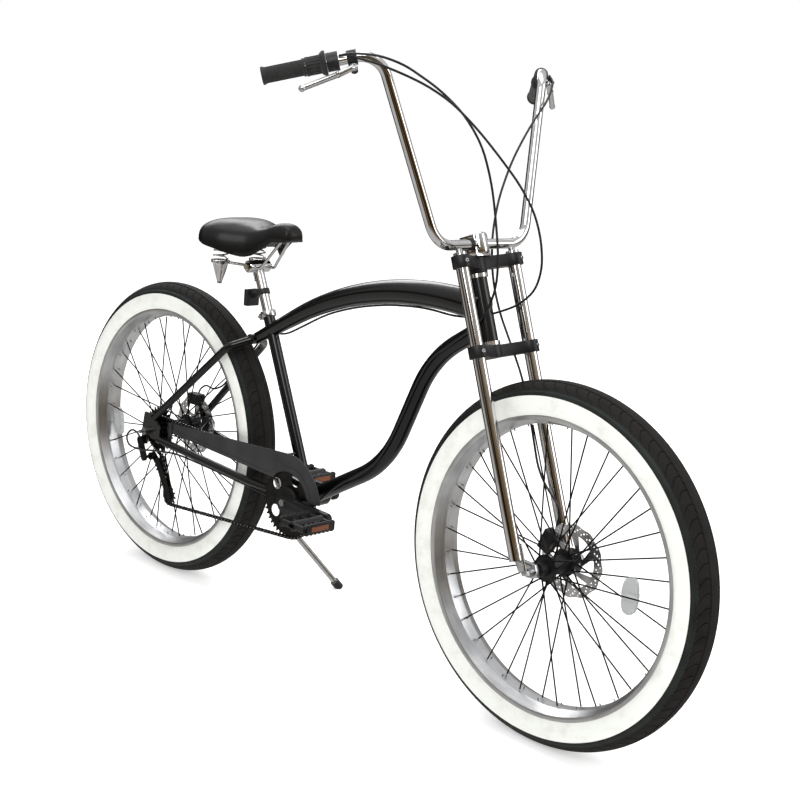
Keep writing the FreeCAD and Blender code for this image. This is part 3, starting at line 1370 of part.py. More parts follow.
for index, side in enumerate((1, -1)):
    near = s.rail_spread / 2
    nose_end = post_head + vec(s.saddle_nose * 2 / 3, 0, pan + nose_rise) + out(side, s.rail_bend)
    nose_knee = post_head + vec(s.saddle_nose / 4, 0, 0) + out(side, near)
    tail_knee = post_head + vec(-s.rail_clamp_radius * 2, 0, 0) + out(side, near)
    tail_end = post_head + vec(-s.spring_back, 0, s.bullet_flange_height / 2) + out(side, s.spring_spread / 2)
    path = route([nose_end, nose_knee, tail_knee, tail_end], float(s.rail_bend))
    solid = feature("rail", pipe(path, float(s.rail_radius)))
    rail_solids.append(solid)
    rails.append(cut("rail_end", solid, bullets[index], saddle_solid))
keep("saddle_frame", group("saddle_frame", cut("rail_clamp", rail_clamp, *rail_solids), *rails))

strap_base = bracket + SEAT_UP * float(s.seat_tube_length + s.reflector_rise)
strap_ring = cylinder("strap_ring", s.seat_post_radius + s.strap_wall, s.strap_width, strap_base, SEAT_UP)
strap_middle = strap_base + SEAT_UP * float(s.strap_width / 2)
strap_reach = s.seat_post_radius + s.strap_width * 2
strap_arm = box("strap_arm", (strap_reach, s.strap_width, s.strap_width),
                strap_middle + SEAT_BACK * float(strap_reach / 2), SEAT_TURN)
lens = box("reflector_lens", (s.reflector_depth, s.reflector_width, s.reflector_height),
           strap_middle + SEAT_BACK * float(strap_reach + s.reflector_depth / 2), Rotation())
keep("rear_reflector", cut("rear_reflector", fuse("reflector_body", strap_ring, strap_arm, lens), post_outer))

# kickstand
tilt = math.radians(float(s.stand_tilt))
STAND_AXIS = Vector(0, math.cos(tilt), math.sin(tilt))
STAND_TURN = Rotation(X_AXIS, float(s.stand_tilt))
stand_pivot = bracket + vec(-s.stand_pivot_back, s.stand_pivot_side, -s.stand_pivot_drop)
stand_knee = stand_pivot + vec(-s.stand_knee_back, s.stand_knee_side, -s.stand_knee_drop)
stand_foot = stand_pivot + vec(s.stand_foot_forward, s.stand_foot_side, 0)
stand_foot.z = float(s.stand_foot_height)
print("kickstand pivot", tuple(round(v, 2) for v in stand_pivot), "axis",
      tuple(round(v, 4) for v in STAND_AXIS))
lug_start = s.stand_sleeve_length / 2 + s.clear_gap
lug_middle = -STAND_AXIS * float(lug_start + s.stand_lug_thickness / 2)
lug_rise = STAND_TURN.multVec(Z_AXIS) * float(s.stand_lug_up / 2)
lug = box("stand_lug", (s.stand_lug_length, s.stand_lug_thickness, s.stand_lug_up),
          stand_pivot + lug_middle + lug_rise, STAND_TURN)
pin_start = stand_pivot - STAND_AXIS * float(lug_start + s.stand_lug_thickness)
lug_round = cylinder("stand_lug_round", s.stand_lug_length / 2, s.stand_lug_thickness, pin_start, STAND_AXIS)
pin_length = lug_start + s.stand_lug_thickness + s.stand_sleeve_length / 2 + s.clear_gap
pin = cylinder("stand_pin", s.stand_pin_radius, pin_length, pin_start, STAND_AXIS)
pin_head = cylinder("stand_pin_head", s.stand_pin_radius + s.stand_pin_head, s.stand_pin_head,
                    pin_start + STAND_AXIS * float(pin_length), STAND_AXIS)
keep("kickstand_bracket", cut("kickstand_bracket", fuse("stand_bracket_body", lug, lug_round, pin, pin_head),
                              stay_outers[1]))
sleeve = cylinder("stand_sleeve", s.stand_sleeve_radius, s.stand_sleeve_length,
                  stand_pivot - STAND_AXIS * float(s.stand_sleeve_length / 2), STAND_AXIS)
sleeve_bore = cylinder("stand_bore", s.stand_pin_radius + s.running_gap,
                       s.stand_sleeve_length + s.overrun * 2,
                       stand_pivot - STAND_AXIS * float(s.stand_sleeve_length / 2 + s.overrun), STAND_AXIS)
leg_path = route([stand_pivot, stand_knee, stand_foot], float(s.stand_bend))
leg_rod = feature("stand_rod", pipe(leg_path, float(s.stand_rod_radius)))
foot_along = (stand_foot - stand_knee).normalize()
foot = cylinder("stand_foot", s.stand_foot_radius, s.stand_foot_length,
                stand_foot - foot_along * float(s.stand_foot_length), foot_along)
stand_rod_cut = cut("stand_rod_cut", fuse("stand_leg_body", leg_rod, sleeve), sleeve_bore, foot)
keep("kickstand_leg", group("kickstand_leg", stand_rod_cut, foot))


# cables: hand-chosen points, joined by arcs as large as their runs allow
CABLE_RUN_SHARE = 0.45


def cable_route(points):
    edges = []
    last = points[0]
    tight = []
    for before, corner, after in zip(points, points[1:], points[2:]):
        inward = before - corner
        outward = after - corner
        run = CABLE_RUN_SHARE * min(inward.Length, outward.Length)
        inward.normalize()
        outward.normalize()
        half = inward.getAngle(outward) / 2
        bend = run * math.tan(half)
        tight.append(bend)
        start = corner + inward * run
        end = corner + outward * run
        crown = corner + (inward + outward).normalize() * (bend / math.sin(half) - bend)
        edges.append(Part.LineSegment(last, start).toShape())
        edges.append(Part.Arc(start, crown, end).toShape())
        last = end
    edges.append(Part.LineSegment(last, points[-1]).toShape())
    return Part.Wire(edges), min(tight)


def cable(name, points):
    path, tight = cable_route(points)
    shape = pipe(path, float(s.cable_radius))
    area = math.pi * float(s.cable_radius) ** 2
    print(name, "length", round(path.Length), "tightest bend", round(tight), "volume share",
          round(shape.Volume / (area * path.Length), 4))
    return keep(name, feature(name, shape))


def under_top_tube(share):
    """A place on the line where a cable runs under the arch."""
    angle = nose - (nose + tail) * share
    radius = s.top_tube_front_radius + (s.top_tube_rear_radius - s.top_tube_front_radius) * share
    down = Vector(math.sin(angle), 0, math.cos(angle))
    return on_arch(angle) - down * float(radius + s.cable_radius + s.cable_gap)


def over_left_stay(share):
    """A place on the line where a cable runs along the top of the left seat stay."""
    shoulder, end = stay_lines[1]
    along = (end - shoulder).normalize()
    rise = (Z_AXIS - along * along.z).normalize()
    return shoulder + (end - shoulder) * share + rise * float(s.seat_stay_radius + s.cable_radius
        + s.cable_stay_gap)


shift_points = [Vector(*place) for place in (
    (236.6, -321.4, 1378.4), (264, -312, 1385), (300, -277, 1386), (330, -232, 1372), (354, -150, 1330), (372,
        -90, 1284),
    (392, -50, 1225), (410, -30, 1150), (426, -23, 1070), (441, -23, 1000), (446, -26, 940), (430, -31, 880),
    (388, -30, 838), (330, -25, 796), (276, -24, 756), (240, -23.5, 695), (208, -23.5, 620), (174, -23.5,
        545),
    (132, -24, 480), (70, -24, 436), (10, -25, 398), (-38, -27, 352), (-76, -29, 312), (-128, -32, 300),
    (-190, -40, 315), (-264, -54, 327.5), (-400, -67, 341), (-540, -82, 352), (-608, -108, 347), (-656,
        -113, 338),
    (-704, -113, 340), (-722, -109, 362), (-706, -103, 382), (-684, -101, 378), (-674.5, -100, 368.5))]
cable("shift_cable", shift_points)
rear_top = rear_brake_centre + Z_AXIS * float(s.caliper_height / 2)
rear_points = [Vector(*place) for place in (
    (261.7, -302.7, 1378.3), (289, -274, 1371), (320, -232, 1356), (345, -180, 1336), (370, -128,
        1306), (396, -74, 1258),
    (424, -28, 1204), (452, 12, 1150), (478, 36, 1095), (496, 44, 1040), (504, 46, 985), (492, 45, 935),
    (452, 41, 898), (400, 36, 874), (350, 28, 856), (305, 10, 852))]
rear_points += [under_top_tube(share) for share in (0.28, 0.46, 0.64, 0.82)]
rear_points += [Vector(*place) for place in ((-196, 8, 736), (-256, 22, 710), (-318, 31, 702),
                                             (-372, 54, 690))]
rear_points += [over_left_stay(share) for share in (0.14, 0.7)]
rear_points += [Vector(*place) for place in ((-602, 81, 494), (-630, 78, 501))]
rear_points.append(rear_top + Vector(10, 6, 16))
rear_points.append(rear_top + Vector(2, 6, 0) + Z_AXIS * float(s.cable_radius))
cable("rear_brake_cable", rear_points)
front_top = front_brake_centre + front_brake_turn.multVec(X_AXIS) * float(s.caliper_length / 2)
front_points = [Vector(*place) for place in (
    (261.7, 302.7, 1378.3), (294, 280, 1364), (318, 238, 1326), (322, 180, 1266), (325, 126, 1190), (331,
        88, 1110),
    (341, 67, 1042), (351, 60, 986), (363, 59, 934), (388, 60, 872), (424, 63, 812), (466, 65, 742), (502,
        65, 650),
    (540, 62, 545))]
entry = front_top + out(1, (s.caliper_slot + s.caliper_width) / 4)
front_points.append(entry + front_brake_turn.multVec(X_AXIS) * 55 + Vector(-12, 0, 0))
front_points.append(entry + front_brake_turn.multVec(X_AXIS) * float(s.cable_gap))
cable("front_brake_cable", front_points)


def finish():
    doc.recompute()
    failed = [item.Label for item in doc.Objects if "Invalid" in item.State or "Error" in item.State]
    if failed:
        raise RuntimeError("failed objects: " + ", ".join(failed))
    for label, item in pieces.items():
        if item.Shape.isNull() or not item.Shape.isValid() or not item.Shape.Solids:
            raise RuntimeError("bad shape: " + label)
    os.makedirs("parts", exist_ok=True)
    for label, item in pieces.items():
        item.Shape.exportStep(os.path.join("parts", label + ".step"))
        print(label, len(item.Shape.Solids), round(item.Shape.Volume))


finish()
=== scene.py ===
"""A beach cruiser bicycle: surfaces, trim and soft pieces, built round its solids."""
import json
import math

import bmesh
import bpy
from mathutils import Matrix, Vector


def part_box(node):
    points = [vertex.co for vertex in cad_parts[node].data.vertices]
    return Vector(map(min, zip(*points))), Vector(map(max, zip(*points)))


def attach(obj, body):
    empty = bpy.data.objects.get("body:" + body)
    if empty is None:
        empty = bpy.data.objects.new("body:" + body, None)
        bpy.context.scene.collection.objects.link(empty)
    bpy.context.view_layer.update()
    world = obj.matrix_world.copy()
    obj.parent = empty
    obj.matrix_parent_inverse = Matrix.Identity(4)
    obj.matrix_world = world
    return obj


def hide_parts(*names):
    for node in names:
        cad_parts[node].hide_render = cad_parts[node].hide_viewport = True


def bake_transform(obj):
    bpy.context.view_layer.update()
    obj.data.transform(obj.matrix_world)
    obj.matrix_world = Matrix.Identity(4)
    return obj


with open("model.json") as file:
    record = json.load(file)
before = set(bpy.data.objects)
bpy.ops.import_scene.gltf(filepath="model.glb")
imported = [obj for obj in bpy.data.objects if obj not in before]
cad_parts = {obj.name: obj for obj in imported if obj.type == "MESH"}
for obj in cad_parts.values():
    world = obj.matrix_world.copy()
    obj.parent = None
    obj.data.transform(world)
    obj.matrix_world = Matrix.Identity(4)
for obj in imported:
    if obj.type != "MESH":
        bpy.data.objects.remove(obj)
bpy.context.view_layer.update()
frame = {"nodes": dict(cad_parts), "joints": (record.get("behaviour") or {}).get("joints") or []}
nodes = frame["nodes"]
joints = {joint["name"]: joint for joint in frame["joints"]}

MM = 0.001
TAU = 2 * math.pi
X_AXIS = Vector((1, 0, 0))
Y_AXIS = Vector((0, 1, 0))
Z_AXIS = Vector((0, 0, 1))
BOTH_SIDES = (1, -1)


def pivot(joint):
    """Where a joint turns."""
    return Vector(joints[joint]["pos_m"])


def mm(x, y, z):
    """A place or size given in millimetres."""
    return Vector((x * MM, y * MM, z * MM))


FRONT_AXLE = pivot("front_wheel_spin")
REAR_AXLE = pivot("rear_wheel_spin")
CRANK = pivot("crank_spin")
STEER_UP = Vector(joints["steering"]["axis"])
STEER_FORWARD = Y_AXIS.cross(STEER_UP)
SEAT_UP = Vector(joints["seat_post_slide"]["axis"])
SEAT_TUBE_FOOT = mm(-108, 0, 334)


# shader helpers
def linear(colour):
    """The linear colour of an sRGB hex value."""
    levels = [int(colour[i:i + 2], 16) / 255 for i in (1, 3, 5)]
    return tuple(v / 12.92 if v <= 0.04045 else ((v + 0.055) / 1.055) ** 2.4 for v in levels) + (1.0,)


def add(tree, kind, inputs=None, **settings):
    """Adds a node, gives it its settings, and fills or links its inputs."""
    item = tree.nodes.new(kind)
    for key, value in settings.items():
        setattr(item, key, value)
    for key, value in (inputs or {}).items():
        socket = item.inputs[key]
        if isinstance(value, bpy.types.NodeSocket):
            tree.links.new(value, socket)
        else:
            socket.default_value = value
    return item


def per_mm(size):
    """The texture scale that gives features of this size in millimetres."""
    return 1 / (size * MM)


def noise(size, detail, **inputs):
    """A pattern of cloudy noise with features of a size in millimetres."""
    return lambda tree, place: add(tree, "ShaderNodeTexNoise", {
        "Vector": place, "Scale": per_mm(size), "Detail": detail, **inputs}).outputs["Fac"]


def cells(size, randomness=1.0, **settings):
    """A pattern of cells of a size in millimetres."""
    return lambda tree, place: add(tree, "ShaderNodeTexVoronoi", {
        "Vector": place, "Scale": per_mm(size), "Randomness": randomness}, **settings).outputs["Distance"]


def ramp(tree, factor, *stops):
    """A colour ramp through (position, sRGB hex) stops."""
    item = add(tree, "ShaderNodeValToRGB", {"Fac": factor})
    elements = item.color_ramp.elements
    while len(elements) < len(stops):
        elements.new(0.5)
    for element, (position, colour) in zip(elements, stops):
        element.position = position
        element.color = linear(colour)
    return item.outputs["Color"]


def between(tree, factor, low, high):
    """A number that goes from low to high with a 0 to 1 factor."""
    return add(tree, "ShaderNodeMapRange", {"Value": factor, "To Min": low, "To Max": high}).outputs["Result"]


def product(tree, first, second):
    """Two numbers multiplied."""
    return add(tree, "ShaderNodeMath", {0: first, 1: second}, operation="MULTIPLY").outputs["Value"]


def coating(name, colour, pattern, stops, rough=None, bump=None, bump_on=("Normal",), fine_rough=False, **sockets):
    """A material whose colour and roughness follow a pattern, with its constants on the shader's own sockets.

    bump is a finer pattern, its strength and its depth in millimetres. With fine_rough the roughness follows it too.
    """
    item = bpy.data.materials.new(name)
    item.use_nodes = True
    tree = item.node_tree
    shader = tree.nodes["Principled BSDF"]
    shader.inputs["Base Color"].default_value = linear(colour)
    for key, value in sockets.items():
        shader.inputs[key.replace("_", " ").title().replace("Ior", "IOR")].default_value = value
    place = add(tree, "ShaderNodeTexCoord").outputs["Object"]
    broad = pattern(tree, place)
    tree.links.new(ramp(tree, broad, *stops), shader.inputs["Base Color"])
    if bump:
        finer, strength, depth = bump
        fine = finer(tree, place)
        normal = add(tree, "ShaderNodeBump", {"Height": fine, "Strength": strength, "Distance": depth * MM})
        for socket in bump_on:
            tree.links.new(normal.outputs["Normal"], shader.inputs[socket])
    if rough:
        tree.links.new(between(tree, fine if fine_rough else broad, *rough), shader.inputs["Roughness"])
    return item


# materials
def streaks(tree, _place):
    """Fine streaks along the turn of a lathed piece, on its own UVs."""
    turn = add(tree, "ShaderNodeUVMap", uv_map="turn").outputs["UV"]
    drawn = add(tree, "ShaderNodeMapping", {"Vector": turn, "Scale": (26.0, per_mm(1.6), 1.0)}).outputs["Vector"]
    return add(tree, "ShaderNodeTexNoise", {"Vector": drawn, "Scale": 1.0, "Detail": 3.0}).outputs["Fac"]


def brushing(tree, place):
    """Streaks that fade in and out in clouds."""
    return product(tree, streaks(tree, place), noise(60, 3)(tree, place))


def grinding(tree, place):
    """Scratches drawn out slantwise."""
    drawn = add(tree, "ShaderNodeMapping", {"Vector": place, "Rotation": (0, 0.7, 0), "Scale": (1, 1, 12)})
    return noise(14, 4)(tree, drawn.outputs["Vector"])


def reflector_lens(name, colour, deep, alpha=1.0):
    """Moulded acrylic with a bed of corner prisms behind a clear face."""
    prisms = cells(3.2, 0.0, distance="MANHATTAN")
    return coating(name, colour, prisms, ((0.0, colour), (1.0, deep)), bump=(prisms, 0.6, 1.0), roughness=0.12,
                   coat_weight=0.8, coat_roughness=0.04, alpha=alpha)


# stove enamel on steel tube: deep black, a clear wet top coat with slight orange peel and faint dust
ENAMEL = coating("gloss_black_enamel", "#0a0a0b", noise(90, 5), ((0.35, "#030304"), (0.75, "#0a0a0b")), (0.24, 0.40),
                 (noise(5, 1), 0.06, 0.2), ("Normal", "Coat Normal"), roughness=0.3, specular_ior_level=0.15,
                 coat_weight=0.55, coat_roughness=0.03)
# sand-blasted and anodised aluminium: a soft black sheen with a fine grit
SATIN_BLACK = coating("satin_black_alloy", "#161617", noise(40, 6), ((0.3, "#101011"), (0.8, "#232325")), (0.34, 0.52),
                      (noise(1.2, 2), 0.12, 0.1), metallic=0.35, roughness=0.42)
# chromium over polished steel: a mirror with faint smears from handling
CHROME = coating("chrome_plate", "#d4d4d6", noise(35, 4), ((0.3, "#dcdcdd"), (0.8, "#c3c2c0")), (0.03, 0.13),
                 metallic=1.0, roughness=0.06)
# extruded aluminium hoop, brushed round its length, with a dull machined shine
RIM_ALLOY = coating("brushed_rim_alloy", "#c2c3c5", brushing, ((0.1, "#b4b5b7"), (0.45, "#e6e7e8")), (0.24, 0.46),
                    (streaks, 0.12, 0.1), fine_rough=True, metallic=1.0, roughness=0.34)
# cast and polished aluminium: bright but softer than chrome, with fine rub marks
POLISHED = coating("polished_alloy", "#cfd0d2", noise(8, 6), ((0.3, "#b9babc"), (0.7, "#d8d9da")), (0.14, 0.32),
                   metallic=1.0, roughness=0.2)
# stainless disc, ground across: bright grey with fine scratches
STAINLESS = coating("ground_stainless", "#b8b8ba", grinding, ((0.25, "#b0b0b3"), (0.75, "#e4e4e6")), (0.2, 0.42),
                    metallic=1.0, roughness=0.3)
# steel blackened in a hot bath: dark brown-black, a low oily shine
BLACK_STEEL = coating("black_oxide_steel", "#161514", noise(12, 5), ((0.3, "#0c0b0b"), (0.8, "#2a2826")), (0.28, 0.55),
                      metallic=0.75, roughness=0.4)
# zinc-plated fastener steel: pale grey with a faint spangle
ZINC = coating("zinc_steel", "#a9aaad", cells(3), ((0.0, "#b8b9bb"), (0.8, "#8f9093")), (0.24, 0.42),
               metallic=1.0, roughness=0.32)
# glass-filled nylon from a spark-eroded mould: charcoal with a fine leathery grain
PLASTIC = coating("moulded_black_plastic", "#141415", noise(25, 5), ((0.3, "#0f0f10"), (0.8, "#202022")), (0.4, 0.6),
                  (cells(0.9), 0.2, 0.1), roughness=0.5)
# moulded soft rubber: dull black, dusty in the hollows
RUBBER = coating("grip_rubber", "#121212", noise(18, 6), ((0.3, "#0b0b0b"), (0.8, "#222121")), (0.62, 0.82),
                 (noise(0.8, 2), 0.25, 0.1), roughness=0.72, sheen_weight=0.15)
# vulcanised tread: brown-black, matt, paler where road dust holds
TREAD = coating("tread_rubber", "#1c1a19", noise(30, 7), ((0.3, "#121110"), (0.75, "#211f1d")), (0.68, 0.88),
                (noise(1.5, 3), 0.3, 0.2), roughness=0.78, specular_ior_level=0.25)
# the smooth moulded shoulder of the tyre: green-black, a low sheen
SHOULDER = coating("shoulder_rubber", "#1b1f1d", noise(45, 5), ((0.3, "#141816"), (0.8, "#272d2a")), (0.45, 0.65),
                   roughness=0.55, specular_ior_level=0.25)
# the white band vulcanised on the side wall: cream-white, satin, with faint scuffs
WHITEWALL = coating("whitewall_rubber", "#eef0ea", noise(50, 8, Roughness=0.65),
                    ((0.28, "#dfe1d8"), (0.5, "#f1f3ee"), (0.8, "#f4f5f1")), (0.42, 0.58), roughness=0.5)
# powder coat on pressed steel: satin charcoal with a fine even texture
GUARD = coating("guard_paint", "#2a2a2c", noise(60, 4), ((0.3, "#232325"), (0.8, "#343437")), (0.36, 0.5),
                (noise(1.6, 2), 0.12, 0.15), fine_rough=True, roughness=0.42)
# smooth upholstery vinyl over foam: black, semi-gloss, with a fine pressed leather grain
VINYL = coating("saddle_vinyl", "#131313", noise(70, 5), ((0.3, "#080808"), (0.8, "#141313")), (0.3, 0.48),
                (cells(1.6, feature="DISTANCE_TO_EDGE"), 0.16, 0.15), roughness=0.4, specular_ior_level=0.24,
                coat_weight=0.08, coat_roughness=0.16)
# extruded PVC over steel wire: plain black with a soft shine
SHEATH = coating("cable_sheath", "#101011", noise(15, 4), ((0.3, "#0a0a0b"), (0.8, "#1a1a1b")), (0.28, 0.46),
                 roughness=0.36)
AMBER = reflector_lens("amber_lens", "#a4561a", "#5c2a0a")
RED = reflector_lens("red_lens", "#a81414", "#4a0505")
CLEAR = reflector_lens("clear_lens", "#e4e6e6", "#b4b8b8", alpha=0.82)


# mesh helpers: outlines, profiles and sections are in millimetres, places in metres
def polar(radius, angle):
    """The flat point at a radius and angle."""
    return (radius * math.cos(angle), radius * math.sin(angle))


def turns(count):
    """Angles that divide a full turn evenly."""
    return [TAU * i / count for i in range(count)]


def circle(radius, sides):
    """A round outline."""
    return [polar(radius, angle) for angle in turns(sides)]


def arc(radius, start, end, steps):
    """Points along an arc, both ends included."""
    return [polar(radius, start + (end - start) * i / steps) for i in range(steps + 1)]


def in_plane(angle):
    """The direction at an angle in the plane of the wheels."""
    return Vector((math.cos(angle), 0, math.sin(angle)))


def signed_power(value, power):
    """A power that keeps the sign of its value."""
    return math.copysign(abs(value) ** power, value)


def linked(name, data):
    """A new object in the scene."""
    item = bpy.data.objects.new(name, data)
    bpy.context.scene.collection.objects.link(item)
    return item


def piece(name, mesh, body, slot, *materials, replaces=(), angle=40):
    """A finished piece: its mesh, smooth up to an angle, its materials, its body and what it stands for."""
    if isinstance(mesh, bmesh.types.BMesh):
        built = bpy.data.meshes.new(name)
        mesh.to_mesh(built)
        mesh.free()
        mesh = built
    item = linked(name, mesh)
    for material in materials:
        mesh.materials.append(material)
    if angle:
        mesh.shade_smooth()
        mesh.set_sharp_from_angle(angle=math.radians(angle))
    if body:
        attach(item, body)
    if replaces:
        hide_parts(*replaces)
    return item


def frame_at(base, axis):
    """The matrix that stands +Z of a shape along an axis at a place."""
    return Matrix.Translation(base) @ axis.to_track_quat("Z", "X").to_matrix().to_4x4()


def set_in(place, *axes):
    """The matrix that puts a shape at a place with its axes along three directions."""
    return Matrix.Translation(place) @ Matrix(axes).transposed().to_4x4()


def skin(mesh, rings, uv=None, places=(), slots=(), caps=False):
    """Faces between rings that follow one another. UVs run u round them and v through the places."""
    sides = len(rings[0])
    for row, (near, far) in enumerate(zip(rings, rings[1:])):
        for i in range(sides):
            j = (i + 1) % sides
            face = mesh.faces.new((near[i], near[j], far[j], far[i]))
            if slots:
                face.material_index = slots[row]
            if uv:
                corners = ((i, row), (i + 1, row), (i + 1, row + 1), (i, row + 1))
                for loop, (turn, place) in zip(face.loops, corners):
                    loop[uv].uv = (turn / sides, places[place])
    if caps:
        mesh.faces.new(rings[0][::-1])
        mesh.faces.new(rings[-1])
    bmesh.ops.recalc_face_normals(mesh, faces=mesh.faces)


def lathe(profile, segments, base, axis, closed=False, slots=()):
    """A turned mesh: profile is (radius, along), and its UVs run round it and along the profile."""
    mesh = bmesh.new()
    uv = mesh.loops.layers.uv.new("turn")
    matrix = frame_at(base, axis)
    places = [0.0]
    for start, end in zip(profile, profile[1:] + profile[:1]):
        places.append(places[-1] + math.dist(start, end) * MM)
    rings = [[mesh.verts.new(matrix @ mm(*polar(radius, angle), along)) for angle in turns(segments)]
             for radius, along in profile]
    skin(mesh, rings + rings[:1] if closed else rings, uv, places, slots)
    bmesh.ops.remove_doubles(mesh, verts=mesh.verts, dist=1e-6)
    return mesh


def sweep(points, section, turn=Z_AXIS):
    """A closed tube along points: section(share) gives its outline there as (across, up)."""
    mesh = bmesh.new()
    uv = mesh.loops.layers.uv.new("run")
    last = len(points) - 1
    rings, runs = [], [0.0]
    side = None
    for index, point in enumerate(points):
        along = (points[min(index + 1, last)] - points[max(index - 1, 0)]).normalized()
        if side is None:
            side = along.cross(turn)
            if side.length < 1e-4:
                side = along.cross(X_AXIS)
        side = (side - along * side.dot(along)).normalized()
        up = side.cross(along)
        if index:
            runs.append(runs[-1] + (point - points[index - 1]).length)
        rings.append([mesh.verts.new(point + side * (across * MM) + up * (rise * MM))
                      for across, rise in section(index / last)])
    skin(mesh, rings, uv, runs, caps=True)
    return mesh


def bent_path(corners, bend, steps):
    """Straight runs through the corners with round bends of one radius, as points."""
    points = [corners[0]]
    for before, corner, after in zip(corners, corners[1:], corners[2:]):
        inward = (before - corner).normalized()
        outward = (after - corner).normalized()
        half = inward.angle(outward) / 2
        middle = corner + (inward + outward).normalized() * (bend / math.sin(half))
        spoke = corner + inward * (bend / math.tan(half)) - middle
        axis = inward.cross(outward).normalized()
        for step in range(steps + 1):
            points.append(middle + Matrix.Rotation((2 * half - math.pi) * step / steps, 3, axis) @ spoke)
    points.append(corners[-1])
    return points


def outline_plate(loops, thickness, matrix):
    """A flat plate with holes: loops are closed lists of (x, y), its thickness is centred on z."""
    mesh = bmesh.new()
    edges = []
    for loop in loops:
        verts = [mesh.verts.new(mm(x, y, -thickness / 2)) for x, y in loop]
        edges += [mesh.edges.new((a, b)) for a, b in zip(verts, verts[1:] + verts[:1])]
    bmesh.ops.triangle_fill(mesh, use_beauty=True, use_dissolve=False, edges=edges)
    rise = bmesh.ops.extrude_face_region(mesh, geom=mesh.faces[:])
    verts = [item for item in rise["geom"] if isinstance(item, bmesh.types.BMVert)]
    bmesh.ops.translate(mesh, verts=verts, vec=mm(0, 0, thickness))
    bmesh.ops.recalc_face_normals(mesh, faces=mesh.faces)
    mesh.transform(matrix)
    return mesh


def rounded(mesh, edges, radius, steps, clamp=False):
    """Rounds edges off, with clamp only as far as their neighbours leave room."""
    bmesh.ops.bevel(mesh, geom=edges, offset=radius * MM, segments=steps, profile=0.5, affect="EDGES",
                    clamp_overlap=clamp)


def rounded_block(size, radius, place, steps=3, axes=(X_AXIS, Y_AXIS, Z_AXIS)):
    """A box with round edges about a place."""
    mesh = bmesh.new()
    bmesh.ops.create_cube(mesh, size=1.0)
    bmesh.ops.scale(mesh, vec=mm(*size), verts=mesh.verts)
    rounded(mesh, mesh.edges[:], radius, steps)
    mesh.transform(set_in(place, *axes))
    return mesh


def join(*meshes):
    """Several bmeshes as one."""
    whole = bmesh.new()
    for mesh in meshes:
        part = bpy.data.meshes.new("part")
        mesh.to_mesh(part)
        mesh.free()
        whole.from_mesh(part)
        bpy.data.meshes.remove(part)
    return whole


# tyres
TYRE_RADIUS = 388 * MM
TYRE_SECTION = 46 * MM
SIPE_SPACING = 29 * MM
SIPE_WIDTH = 2.4 * MM
SIPE_DEPTH = 2.2 * MM
SIPE_BOW = 24 * MM
SIPE_CURL = 0.9 * math.pi
SIPE_LAG = 0.35
SIPE_SPAN = (0.36, 0.99)
SIPE_PHASES = (0.0, 0.5)
BLOCK_SHARES = (0.17, 0.33)
GROOVE_DEPTH = 2.0 * MM
GROOVE_WAVE = math.radians(2.4)
TREAD_EDGE = math.radians(50)
BEAD_ANGLE = math.radians(121.5)
# tread rows: share of the tread's half width, which rows are the groove's floor, and which wave with it
TREAD_ROW_SHARES = (0.0, 0.12, 0.26, 0.30, 0.34, 0.38, 0.5, 0.62, 0.74, 0.86, 0.94, 1.0)
GROOVE_ROWS = (3, 4)
WAVY_ROWS = range(2, 7)
# side wall rows from the tread's edge to the bead: share of the way, and how far each stands out in millimetres
WALL_ROWS = ((0.0, 0.0), (0.03, -0.9), (0.09, -0.9), (0.12, 0.5), (0.2, 0.5), (0.225, -0.2), (0.25, -0.2), (0.265, 0.6),
             (0.3, 0.7), (0.45, 0.7), (0.6, 0.6), (0.8, 0.4), (0.93, 0.2), (0.97, -0.6), (1.0, -0.8))
# material of each strip between those rows: the black shoulder, then the white band
WALL_SLOTS = (1,) * 7 + (2,) * 7
WALL_SEGMENTS = 200


def tread_point(centre, run, lean, lift):
    """A place on the tyre: run along the tread, lean from the crown, lift off the carcass."""
    reach = TYRE_SECTION + lift
    radius = TYRE_RADIUS - TYRE_SECTION + reach * math.cos(lean)
    return centre + in_plane(run / TYRE_RADIUS) * radius + Y_AXIS * (reach * math.sin(lean))


def sipe_bow(lean):
    """How far a sipe has curved along the tread at this lean."""
    share = abs(lean) / TREAD_EDGE
    return SIPE_BOW * (math.sin(share * SIPE_CURL) - SIPE_LAG * share)


